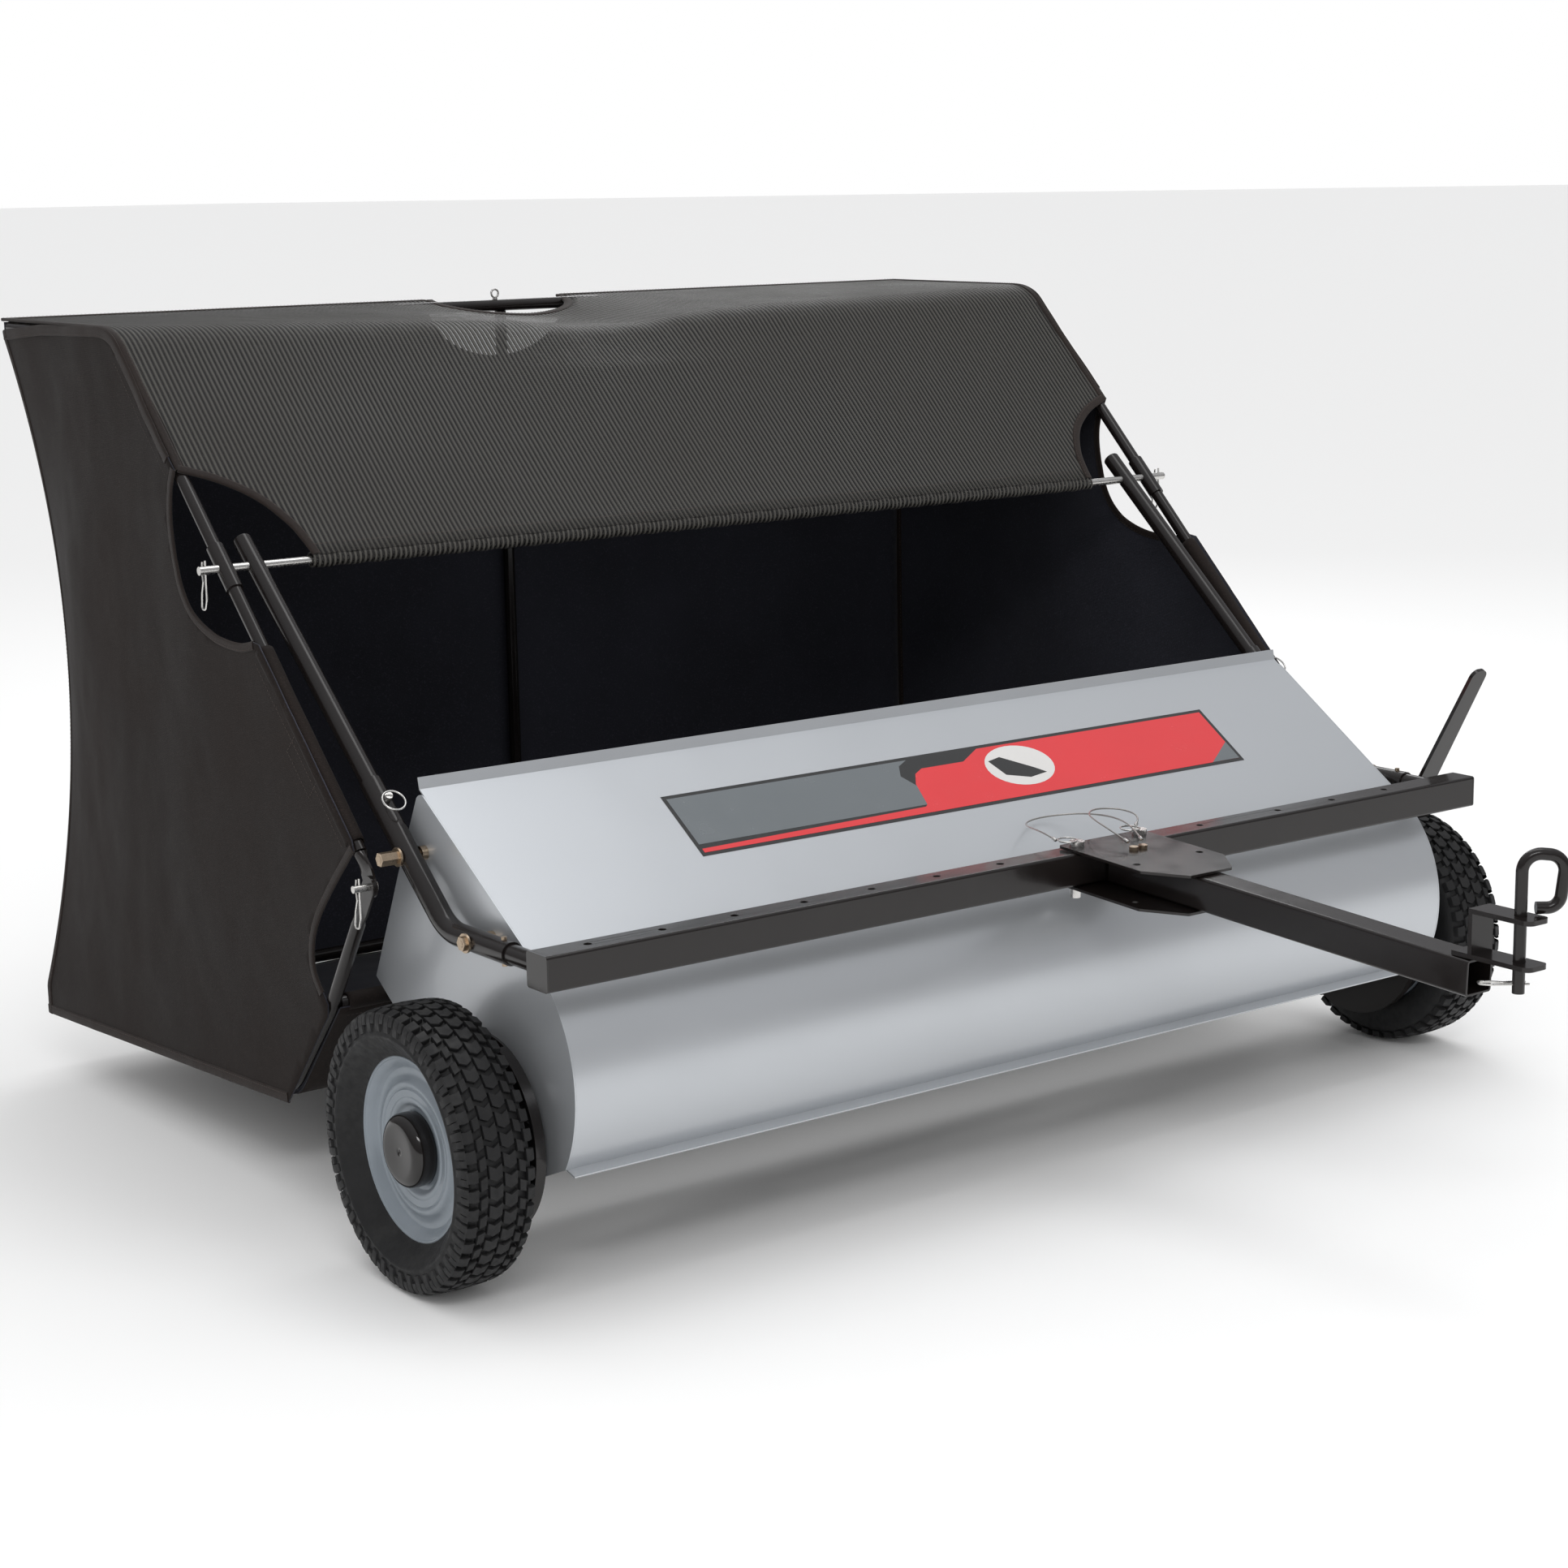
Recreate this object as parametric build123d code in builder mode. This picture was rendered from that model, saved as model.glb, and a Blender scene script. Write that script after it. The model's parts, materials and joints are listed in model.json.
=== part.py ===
from build123d import *
import math
import os

# Tow-behind lawn sweeper: housing with a wheel-driven brush, drawbar, and a fabric hopper that
# tips. Millimetres. +Z is up, -Y is the towing direction and X runs along the axle. The origin
# lies on the ground, midway between the front and rear ends. Side profiles are drawn rearward
# and upward from the ground under the axle.

os.makedirs("parts", exist_ok=True)

# Overall layout
FRONT_REACH = 785.7                 # axle to the front tip of the hitch
REAR_REACH = 1012.0                 # axle to the outside of the rear fabric
AXLE_Y = (FRONT_REACH - REAR_REACH) / 2
SHEET = 2.0                         # housing sheet steel

# Brush housing
HOUSING_HALF = 648.0                # outside face of a side plate
COVER_HALF = HOUSING_HALF - SHEET
DRUM_R = 154.0
COVER_SLOPE = 33.4
SLOPE_LENGTH = 268.0
TOP_LIP = 13.0

# Wheels and drive: module 2 gears, 84 internal teeth drive 15
WHEEL_R = 152.4
WHEEL_IN = 691.0
WHEEL_OUT = 775.0
GEAR_MODULE = 2.0
RING_TEETH = 84
PINION_TEETH = 15
GEAR_OFFSET = GEAR_MODULE * (RING_TEETH - PINION_TEETH) / 2
BRUSH_Z = WHEEL_R + GEAR_OFFSET
BRUSH_R = 130.0
BRUSH_HALF = 635.0
SHAFT_R = 8.0

# Drawbar frame
BAR_SIZE = 38.1
BAR_WALL = 2.6
BAR_HALF = 684.5
BAR_Y = -152.2
BAR_Z = 362.0
SIDE_TUBE_X = 668.0
SIDE_TUBE_R = 12.7
ARM_R = 10.8
ARM_ANGLE = 41.0
BEND_Y = 51.0
PIVOT_RUN = 531.0                   # from the bend along the arm to the hopper pivot
ARM_RUN = 570.0
TONGUE_X = 82.0
TONGUE_DROOP = 2.6
TONGUE_LENGTH = 530.0
PIN_HALF_PITCH = 48.0
PLATE_T = 3.0
PLATE_GAP = 1.0                     # play between the bar and a tongue plate

# Hopper
HOPPER_X = 706.0
TUBE_R = 7.9
TUBE_WALL = 1.4
HOPPER_SLOPE = 44.3
ROD_R = 5.0
ROD_HALF = 738.0
TOP_Z = 960.0
REAR_TUBE_Y = 1000.0
FLOOR_REAR_Z = 88.0
FLOOR_FRONT = (350.0, 126.0)
HEM = (245.0, 248.0)
LOW_PIN = (148.0, 398.0)
FABRIC = 2.0
BAG_X = 716.0
BOW = 40.0                          # how far the free rear corners pull in at half height


def polar(angle, radius, centre=(0.0, 0.0)):
    """A point at an angle in degrees and a radius from a centre."""
    turn = math.radians(angle)
    return (centre[0] + radius * math.cos(turn), centre[1] + radius * math.sin(turn))


BEND = (BEND_Y, BAR_Z)
PIVOT = polar(ARM_ANGLE, PIVOT_RUN, BEND)
BRUSH_AXIS = (0.0, BRUSH_Z)
DRUM_TOP = polar(90 + COVER_SLOPE, DRUM_R, BRUSH_AXIS)
SLOPE_TOP = polar(COVER_SLOPE, SLOPE_LENGTH, DRUM_TOP)
DRUM_BOTTOM = polar(211.3, DRUM_R, BRUSH_AXIS)
DRUM_FRONT = polar(180, DRUM_R, BRUSH_AXIS)


def side_plane(x):
    """Plane across the axle at x: its axes run rearward from the axle and up."""
    return Plane(origin=(x, AXLE_Y, 0), x_dir=(0, 1, 0), z_dir=(1, 0, 0))


def top_plane(z):
    """Level plane with its origin above the middle of the axle."""
    return Plane(origin=(0, AXLE_Y, z), x_dir=(1, 0, 0), z_dir=(0, 0, 1))


def rear_plane(y):
    """Upright plane across the machine, seen from the front: its axes are X and Z."""
    return Plane(origin=(0, AXLE_Y + y, 0), x_dir=(1, 0, 0), z_dir=(0, -1, 0))


def on_slope(run, lift=0.0):
    """Point on the hopper's side tube: run up the slope from the pivot, lift out of it."""
    base = polar(HOPPER_SLOPE, run, PIVOT)
    return polar(HOPPER_SLOPE + 90, lift, base)


def at(x, point):
    """Space point from X and a side profile point."""
    return Vector(x, AXLE_Y + point[0], point[1])


def save(piece, name):
    piece.label = name
    export_step(piece, f"parts/{name}.step")


def save_pair(piece, name):
    """Write a right-hand piece and its mirror image on the left."""
    save(piece, name + "_right")
    save(mirror(piece, about=Plane.YZ), name + "_left")


def both_sides(piece):
    """One group holding a piece and its mirror image."""
    return Compound(children=[piece, mirror(piece, about=Plane.YZ)])


def bar_between(start, end, radius, bore=0.0):
    """Straight round bar or tube from one space point to another."""
    run = end - start
    with BuildPart() as bar:
        with BuildSketch(Plane(origin=start, z_dir=run)):
            Circle(radius)
            if bore:
                Circle(bore, mode=Mode.SUBTRACT)
        extrude(amount=run.length)
    return bar.part


def tube_along(x, points, radii, radius, bore=0.0):
    """Bent round tube in the side plane at x, through filleted corners."""
    with BuildPart() as tube:
        with BuildLine(side_plane(x)) as route:
            FilletPolyline(*points, radius=radii)
        path = route.wire()
        with BuildSketch(Plane(origin=path @ 0, z_dir=path % 0)):
            Circle(radius)
            if bore:
                Circle(bore, mode=Mode.SUBTRACT)
        sweep(path=path)
    return tube.part


def ring_at(centre, normal, ring_r, wire_r):
    """Closed wire ring."""
    turned = Plane(origin=centre, z_dir=normal)
    with BuildPart() as ring:
        with BuildSketch(Plane(origin=centre, x_dir=turned.x_dir, z_dir=turned.y_dir)):
            with Locations((ring_r, 0)):
                Circle(wire_r)
        revolve(axis=Axis(centre, normal))
    return ring.part


def hairpin(plane, clasp, reach=45):
    """Spring clip: a straight leg down the plane's y axis, a loop and a bowed leg beside it."""
    wire_r = 1.2
    with BuildPart() as clip:
        with BuildLine(plane) as route:
            FilletPolyline((0, 11), (0, 11 - reach), (4, -reach), (13, -reach), (clasp + 6, -27),
                           (clasp + 1.4, -14), (clasp + 3.6, -2), (clasp + 1.8, 9),
                           radius=[4, 4, 3, 4, 5, 4])
        path = route.wire()
        with BuildSketch(Plane(origin=path @ 0, z_dir=path % 0)):
            Circle(wire_r)
        sweep(path=path)
    return clip.part


# ---------------------------------------------------------------- brush housing

with BuildPart() as side_plate:
    with BuildSketch(side_plane(COVER_HALF)) as outline:
        with BuildLine():
            ThreePointArc(DRUM_BOTTOM, DRUM_FRONT, DRUM_TOP)
            Polyline(DRUM_TOP, SLOPE_TOP, (190, 397), (250, 269), (30, 111), (-62, 111),
                     DRUM_BOTTOM)
        make_face()
        fillet(outline.vertices().group_by(Axis.Y)[-1], 12)
    extrude(amount=SHEET)
    with BuildSketch(side_plane(COVER_HALF)):
        with Locations(BRUSH_AXIS):
            Circle(12.1)
        with Locations(polar(ARM_ANGLE, 104, BEND), (-5, BAR_Z)):
            Circle(4.2)
    extrude(amount=SHEET, mode=Mode.SUBTRACT)
save_pair(side_plate.part, "side_plate")

with BuildPart() as housing_cover:
    with BuildSketch(side_plane(-COVER_HALF)):
        with BuildLine():
            Line(polar(195, 15, DRUM_BOTTOM), DRUM_BOTTOM)
            ThreePointArc(DRUM_BOTTOM, DRUM_FRONT, DRUM_TOP)
            Line(DRUM_TOP, SLOPE_TOP)
            Line(SLOPE_TOP, polar(78, TOP_LIP, SLOPE_TOP))
            offset(amount=SHEET, side=Side.RIGHT)
        make_face()
    extrude(amount=2 * COVER_HALF)
save(housing_cover.part, "housing_cover")

LABEL_SIZE = (829.0, 97.0)
label_centre = polar(COVER_SLOPE, SLOPE_LENGTH - 116, DRUM_TOP)
slope_normal = (0, -math.sin(math.radians(COVER_SLOPE)), math.cos(math.radians(COVER_SLOPE)))
with BuildPart() as label_panel:
    with BuildSketch(Plane(origin=at(40, label_centre), x_dir=(1, 0, 0), z_dir=slope_normal)):
        RectangleRounded(*LABEL_SIZE, 2)
    extrude(amount=0.6)
save(label_panel.part, "label_panel")

# ---------------------------------------------------------------- crossbar and side tubes

HOLES_LEFT = [-80.0 - 91 * step for step in range(7)]
HOLES_RIGHT = [228.0, 357.0, 450.0, 543.0]
PIN_HOLES = [TONGUE_X - PIN_HALF_PITCH, TONGUE_X + PIN_HALF_PITCH]
with BuildPart() as crossbar:
    with BuildSketch(side_plane(-BAR_HALF)):
        with Locations((BAR_Y, BAR_Z)):
            RectangleRounded(BAR_SIZE, BAR_SIZE, 3.5)
            RectangleRounded(BAR_SIZE - 2 * BAR_WALL, BAR_SIZE - 2 * BAR_WALL, 1.2,
                             mode=Mode.SUBTRACT)
    extrude(amount=2 * BAR_HALF)
    with BuildSketch(top_plane(BAR_Z - BAR_SIZE)):
        with Locations(*[(x, BAR_Y) for x in HOLES_LEFT + HOLES_RIGHT]):
            Circle(4.3)
        with Locations(*[(x, BAR_Y) for x in PIN_HOLES]):
            Circle(7.6)
    extrude(amount=2 * BAR_SIZE, mode=Mode.SUBTRACT)
save(crossbar.part, "crossbar")

STUB_R = 10.6
STUB_END = -18.0
bar_rear = BAR_Y + BAR_SIZE / 2
stub = bar_between(at(SIDE_TUBE_X, (bar_rear, BAR_Z)), at(SIDE_TUBE_X, (STUB_END, BAR_Z)),
                   STUB_R, STUB_R - 1.8)
with BuildPart() as crossbar_stub:
    add(stub)
    with BuildSketch(top_plane(BAR_Z - 20)):
        with Locations((SIDE_TUBE_X, -60)):
            Circle(3.1)
    extrude(amount=40, mode=Mode.SUBTRACT)
save(both_sides(crossbar_stub.part), "crossbar_stubs")

tube_route = [(-75, BAR_Z), BEND, polar(ARM_ANGLE, 206, BEND)]
bent_tube = tube_along(SIDE_TUBE_X, tube_route, 62, SIDE_TUBE_R, SIDE_TUBE_R - 1.8)
clip_point = polar(ARM_ANGLE, 172, BEND)
clip_axis = Vector(0, -math.sin(math.radians(ARM_ANGLE)), math.cos(math.radians(ARM_ANGLE)))
with BuildPart() as drawbar_tube:
    add(bent_tube)
    with BuildSketch(side_plane(SIDE_TUBE_X - 20)):
        with Locations(polar(ARM_ANGLE, 104, BEND), (-5, BAR_Z)):
            Circle(4.2)
    extrude(amount=40, mode=Mode.SUBTRACT)
    with BuildSketch(top_plane(BAR_Z - 20)):
        with Locations((SIDE_TUBE_X, -60)):
            Circle(3.1)
    extrude(amount=40, mode=Mode.SUBTRACT)
    with BuildSketch(Plane(origin=at(SIDE_TUBE_X, clip_point), z_dir=clip_axis)):
        Circle(3.3)
    extrude(amount=20, both=True, mode=Mode.SUBTRACT)
save_pair(drawbar_tube.part, "drawbar_tube")

arm = bar_between(at(SIDE_TUBE_X, polar(ARM_ANGLE, 148, BEND)),
                  at(SIDE_TUBE_X, polar(ARM_ANGLE, ARM_RUN, BEND)), ARM_R, ARM_R - 1.8)
with BuildPart() as arm_tube:
    add(arm)
    with BuildSketch(side_plane(SIDE_TUBE_X - 20)):
        with Locations(PIVOT):
            Circle(ROD_R + 0.1)
    extrude(amount=40, mode=Mode.SUBTRACT)
    with BuildSketch(Plane(origin=at(SIDE_TUBE_X, clip_point), z_dir=clip_axis)):
        Circle(3.3)
    extrude(amount=20, both=True, mode=Mode.SUBTRACT)
save_pair(arm_tube.part, "arm_tube")

arm_end = at(SIDE_TUBE_X, polar(ARM_ANGLE, ARM_RUN, BEND))
arm_dir = Vector(0, math.cos(math.radians(ARM_ANGLE)), math.sin(math.radians(ARM_ANGLE)))
with BuildPart() as arm_cap:
    with BuildSketch(Plane(origin=arm_end, z_dir=arm_dir)):
        Circle(ARM_R)
    extrude(amount=2.5)
    fillet(arm_cap.edges().filter_by(GeomType.CIRCLE).sort_by(Axis.Z)[-1], 2)
    with BuildSketch(Plane(origin=arm_end, z_dir=arm_dir)):
        Circle(ARM_R - 1.9)
    extrude(amount=-10)
with BuildPart() as bar_cap:
    with BuildSketch(side_plane(BAR_HALF)):
        with Locations((BAR_Y, BAR_Z)):
            RectangleRounded(BAR_SIZE, BAR_SIZE, 3.5)
    extrude(amount=2.5)
    with BuildSketch(side_plane(BAR_HALF)):
        with Locations((BAR_Y, BAR_Z)):
            RectangleRounded(BAR_SIZE - 2 * BAR_WALL - 0.4, BAR_SIZE - 2 * BAR_WALL - 0.4, 1.5)
    extrude(amount=-14)
caps = [arm_cap.part, bar_cap.part]
save(Compound(children=caps + [mirror(cap, about=Plane.YZ) for cap in caps]), "tube_end_caps")

clip_seat = at(SIDE_TUBE_X, clip_point)
with BuildPart() as clip_pin:
    with BuildSketch(Plane(origin=clip_seat - clip_axis * 19, z_dir=clip_axis)):
        Circle(3.2)
    extrude(amount=36)
    with BuildSketch(Plane(origin=clip_seat + clip_axis * (SIDE_TUBE_R + 0.6), z_dir=clip_axis)):
        Circle(4.8)
    extrude(amount=7)
clip_ring = ring_at(clip_seat + clip_axis * 24 - arm_dir * 11, clip_axis, 13, 1.1)
pins = [clip_pin.part, clip_ring]
save(Compound(children=pins + [mirror(pin, about=Plane.YZ) for pin in pins]), "arm_clip_pins")

TUBE_OUT = SIDE_TUBE_X + SIDE_TUBE_R
TUBE_IN = SIDE_TUBE_X - SIDE_TUBE_R


def frame_bolt(point, nut_end):
    """Bolt through a side plate and a side tube, with a saddle washer and a nut outside."""
    with BuildPart() as bolt:
        with BuildSketch(side_plane(COVER_HALF - 0.05)):
            with Locations(point):
                Circle(9)
        extrude(amount=-3)
        with BuildSketch(side_plane(COVER_HALF - 0.05)):
            with Locations(point):
                Circle(4)
        extrude(amount=nut_end + 0.3 - COVER_HALF)
        with BuildSketch(side_plane(TUBE_OUT + 0.05)):
            with Locations(point):
                Circle(10.5)
        extrude(amount=2.4)
        with BuildSketch(side_plane(TUBE_OUT + 2.45)):
            with Locations(point):
                RegularPolygon(8, 6)
        extrude(amount=nut_end - TUBE_OUT - 2.45)
    return bolt.part


def plate_spacer(point):
    """Short bush that fills the gap between a side plate and a side tube."""
    with BuildPart() as spacer:
        with BuildSketch(side_plane(HOUSING_HALF + 0.05)):
            with Locations(point):
                Circle(8)
                Circle(4.1, mode=Mode.SUBTRACT)
        extrude(amount=TUBE_IN - HOUSING_HALF - 0.1)
    return spacer.part


bolt_points = [polar(ARM_ANGLE, 104, BEND), (-5, BAR_Z)]
bolts = [frame_bolt(bolt_points[0], 704), frame_bolt(bolt_points[1], 687.3)]
bolts += [plate_spacer(point) for point in bolt_points]
bolts.append(bar_between(Vector(SIDE_TUBE_X, AXLE_Y - 60, BAR_Z - 15.5),
                         Vector(SIDE_TUBE_X, AXLE_Y - 60, BAR_Z + 15.5), 3.0))
save(Compound(children=bolts + [mirror(bolt, about=Plane.YZ) for bolt in bolts]), "frame_bolts")

# ---------------------------------------------------------------- tongue and hitch

droop = math.radians(TONGUE_DROOP)
tongue_plane = Plane(origin=(TONGUE_X, AXLE_Y + BAR_Y, BAR_Z), x_dir=(1, 0, 0),
                     z_dir=(0, -math.sin(droop), math.cos(droop)))
PLATE_BASE = BAR_SIZE / 2 + PLATE_GAP
TONGUE_START = -BAR_SIZE / 2 - 3
PLATE_BOLTS = [(-7, -50), (7, -50)]
PLATE_PINS = [(-PIN_HALF_PITCH, 0), (PIN_HALF_PITCH, 0)]
PLATE_SPARES = [(-PIN_HALF_PITCH, -99), (PIN_HALF_PITCH, -99)]

with BuildPart() as tongue:
    end_plane = Plane(origin=tongue_plane.from_local_coords((0, TONGUE_START, 0)),
                      x_dir=(1, 0, 0), z_dir=-tongue_plane.y_dir)
    with BuildSketch(end_plane):
        RectangleRounded(BAR_SIZE, BAR_SIZE, 3.5)
        RectangleRounded(BAR_SIZE - 2 * BAR_WALL, BAR_SIZE - 2 * BAR_WALL, 1.2,
                         mode=Mode.SUBTRACT)
    extrude(amount=TONGUE_LENGTH)
    with BuildSketch(tongue_plane.offset(-30)):
        with Locations(*PLATE_BOLTS):
            Circle(3.2)
    extrude(amount=60, mode=Mode.SUBTRACT)
save(tongue.part, "tongue")


def tongue_plate(level):
    """Flat plate that clamps the tongue to the crossbar, above or below it."""
    with BuildPart() as plate:
        with BuildSketch(tongue_plane.offset(level)) as shape:
            with BuildLine():
                Polyline((-64, 14), (64, 14), (64, -122), (32, -168), (-32, -168), (-64, -122),
                         close=True)
            make_face()
            fillet(shape.vertices(), 4)
        extrude(amount=PLATE_T)
        with BuildSketch(tongue_plane.offset(level)):
            with Locations(*PLATE_PINS):
                Circle(6.6)
            with Locations(*PLATE_SPARES):
                Circle(4.3)
            with Locations(*PLATE_BOLTS):
                Circle(3.2)
        extrude(amount=PLATE_T, mode=Mode.SUBTRACT)
    return plate.part


save(tongue_plate(PLATE_BASE), "tongue_plate_top")
save(tongue_plate(-PLATE_BASE - PLATE_T), "tongue_plate_bottom")


def headed_pin(x, y, radius, head_r, head_h, tail):
    """Pin through both tongue plates with a head on the upper one."""
    seat = PLATE_BASE + PLATE_T + 0.1
    with BuildPart() as pin:
        with BuildSketch(tongue_plane.offset(seat)):
            with Locations((x, y)):
                Circle(head_r)
        extrude(amount=head_h)
        with BuildSketch(tongue_plane.offset(seat)):
            with Locations((x, y)):
                Circle(radius)
        extrude(amount=-(2 * PLATE_BASE + 2 * PLATE_T + tail))
    return pin.part


tongue_pins = [headed_pin(x, y, 6.3, 8.5, 6, 14) for x, y in PLATE_PINS]
PIN_RING_R = 11.0
for x, y in PLATE_PINS:
    spot = tongue_plane.from_local_coords((x - 13, y + 2, PLATE_BASE + PLATE_T + 8.2))
    tongue_pins.append(ring_at(spot, tongue_plane.z_dir, PIN_RING_R, 1.0))
save(Compound(children=tongue_pins), "tongue_pins")

studs = [headed_pin(x, y, 3.0, 5.2, 4, 5) for x, y in PLATE_BOLTS]
for x, y in PLATE_BOLTS:
    with BuildPart() as nut:
        with BuildSketch(tongue_plane.offset(-PLATE_BASE - PLATE_T - 0.1)):
            with Locations((x, y)):
                RegularPolygon(5.5, 6)
                Circle(3.05, mode=Mode.SUBTRACT)
        extrude(amount=-4.5)
    studs.append(nut.part)
save(Compound(children=studs), "tongue_bolts")

# Thin steel lanyards from a tongue bolt, back over the crossbar and round to a pin ring.
LANYARD_R = 1.0


def lanyard(points, name):
    """Lanyard tube with each arc as large as its two runs allow; prints the arc radii."""
    route = [Vector(x, AXLE_Y + y, z) for x, y, z in points]
    radii = []
    for before, corner, after in zip(route, route[1:], route[2:]):
        turn = math.radians((corner - before).get_angle(after - corner))
        shorter = min((corner - before).length, (after - corner).length)
        radii.append(0.45 * shorter / math.tan(turn / 2))
    print(name, "radii", [round(radius, 1) for radius in radii])
    with BuildPart() as cord:
        with BuildLine() as line:
            FilletPolyline(*route, radius=radii)
        path = line.wire()
        with BuildSketch(Plane(origin=path @ 0, z_dir=path % 0)):
            Circle(LANYARD_R)
        sweep(path=path)
    print(name, "length", round(path.length, 1), "volume ratio",
          round(cord.part.volume / (path.length * math.pi * LANYARD_R**2), 4))
    save(cord.part, name)


LANYARD_LEFT = [(92, -197, 392), (108, -170, 395), (126, -132, 397), (136, -94, 396),
                (130, -58, 394), (108, -38, 392), (80, -32, 391), (54, -42, 391),
                (34, -66, 393), (22, -96, 396), (14, -124, 396), (12, -141, 393)]
LANYARD_RIGHT = [(71, -197, 392), (72, -168, 400), (80, -134, 404), (96, -104, 404),
                 (117, -84, 403), (138, -78, 402), (156, -90, 401), (160, -112, 399),
                 (150, -132, 396), (134, -143, 393)]
lanyard(LANYARD_LEFT, "lanyard_left")
lanyard(LANYARD_RIGHT, "lanyard_right")

# Hitch bracket: a level U of flat bar, its lower ear on top of the tongue.
HITCH_T = 5.0
HITCH_LOW = 357.5
HITCH_GAP = 42.0
HITCH_REAR = -706.0
HITCH_FRONT = -779.0
HITCH_PIN_Y = -754.0
HITCH_PIN_R = 6.35
with BuildPart() as hitch_clevis:
    with BuildSketch(side_plane(TONGUE_X - 16)):
        with BuildLine():
            Polyline((HITCH_REAR + 26, HITCH_LOW), (HITCH_FRONT, HITCH_LOW),
                     (HITCH_FRONT, HITCH_LOW + HITCH_T), (HITCH_REAR, HITCH_LOW + HITCH_T),
                     (HITCH_REAR, HITCH_LOW + HITCH_T + HITCH_GAP),
                     (HITCH_FRONT, HITCH_LOW + HITCH_T + HITCH_GAP),
                     (HITCH_FRONT, HITCH_LOW + 2 * HITCH_T + HITCH_GAP),
                     (HITCH_REAR + HITCH_T, HITCH_LOW + 2 * HITCH_T + HITCH_GAP),
                     (HITCH_REAR + HITCH_T, HITCH_LOW + HITCH_T),
                     (HITCH_REAR + 26, HITCH_LOW + HITCH_T), close=True)
        make_face()
    extrude(amount=32)
    fillet(hitch_clevis.edges().filter_by(Axis.Z).group_by(Axis.Y)[0], 8)
    with BuildSketch(top_plane(HITCH_LOW)):
        with Locations((TONGUE_X, HITCH_PIN_Y)):
            Circle(HITCH_PIN_R + 0.35)
    extrude(amount=2 * HITCH_T + HITCH_GAP, mode=Mode.SUBTRACT)
save(hitch_clevis.part, "hitch_clevis")

# Hitch pin: straight shank, its upper end rolled into an egg-shaped eye.
LOOP_YAW = -37.0
PIN_BASE = 330.0
EAR_TOP = HITCH_LOW + 2 * HITCH_T + HITCH_GAP
loop_dir = (math.cos(math.radians(LOOP_YAW)), math.sin(math.radians(LOOP_YAW)), 0)
loop_normal = (-loop_dir[1], loop_dir[0], 0)
pin_plane = Plane(origin=(TONGUE_X, AXLE_Y + HITCH_PIN_Y, 0), x_dir=loop_dir,
                  z_dir=(loop_dir[1], -loop_dir[0], 0))
with BuildPart() as hitch_pin:
    with BuildLine(pin_plane) as route:
        FilletPolyline((0, PIN_BASE), (0, EAR_TOP + 64), (44, EAR_TOP + 60),
                       (38, EAR_TOP + 7.5), (14.5, EAR_TOP + 7.5), radius=[18, 17, 14])
    path = route.wire()
    with BuildSketch(Plane(origin=path @ 0, z_dir=path % 0)):
        Circle(HITCH_PIN_R)
    sweep(path=path)
    clip_hole = pin_plane.from_local_coords((0, PIN_BASE + 9, 0))
    with BuildSketch(Plane(origin=clip_hole, z_dir=loop_dir)):
        Circle(1.6)
    extrude(amount=10, both=True, mode=Mode.SUBTRACT)
save(hitch_pin.part, "hitch_pin")

clip_plane = Plane(origin=clip_hole, x_dir=loop_normal, z_dir=(0, 0, -1))
save(hairpin(clip_plane, HITCH_PIN_R, 38), "hitch_hairpin")

# ---------------------------------------------------------------- wheel carriage

ARM_IN = 656.0                      # inside face of a wheel arm
ARM_T = 3.0
SHIELD_R = 108.0
LINK_POINT = (104.0, 124.0)
AXLE_R = 10.0
LEVER_ANGLE = 119.0
LEVER_TAB = 108.0                   # brush axis to the lever's step
LEVER_TIP = 334.0
LEVER_X = 704.0
LEVER_W = 32.0
LEVER_T = 5.0
WHEEL_AXIS = (0.0, WHEEL_R)
lever_dir = Vector(0, *polar(LEVER_ANGLE, 1))
lever_side = Vector(0, *polar(LEVER_ANGLE - 90, 1))
lever_root = at(ARM_IN + ARM_T + 0.05, BRUSH_AXIS)

with BuildPart() as wheel_arm:
    with BuildSketch(side_plane(ARM_IN)):
        with Locations(WHEEL_AXIS):
            Circle(SHIELD_R)
        with Locations(LINK_POINT):
            Circle(16)
        with Locations(BRUSH_AXIS):
            Circle(14.2, mode=Mode.SUBTRACT)
    extrude(amount=ARM_T)
    with BuildSketch(side_plane(ARM_IN + ARM_T)):
        with Locations(WHEEL_AXIS):
            Circle(SHIELD_R)
            Circle(SHIELD_R - 3, mode=Mode.SUBTRACT)
    extrude(amount=9)
    with BuildSketch(Plane(origin=at(ARM_IN + ARM_T, BRUSH_AXIS), x_dir=lever_side,
                           z_dir=(1, 0, 0))):
        with Locations((0, 45)):
            Rectangle(LEVER_W + 1, 40)
    extrude(amount=9, mode=Mode.SUBTRACT)
    with BuildSketch(side_plane(ARM_IN)):
        with Locations(WHEEL_AXIS):
            Circle(AXLE_R + 0.05)
    extrude(amount=ARM_T, mode=Mode.SUBTRACT)
save_pair(wheel_arm.part, "wheel_arm")

save(bar_between(at(-ARM_IN + 0.05, LINK_POINT), at(ARM_IN - 0.05, LINK_POINT), 8.0, 6.2),
     "carriage_link_tube")

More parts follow.
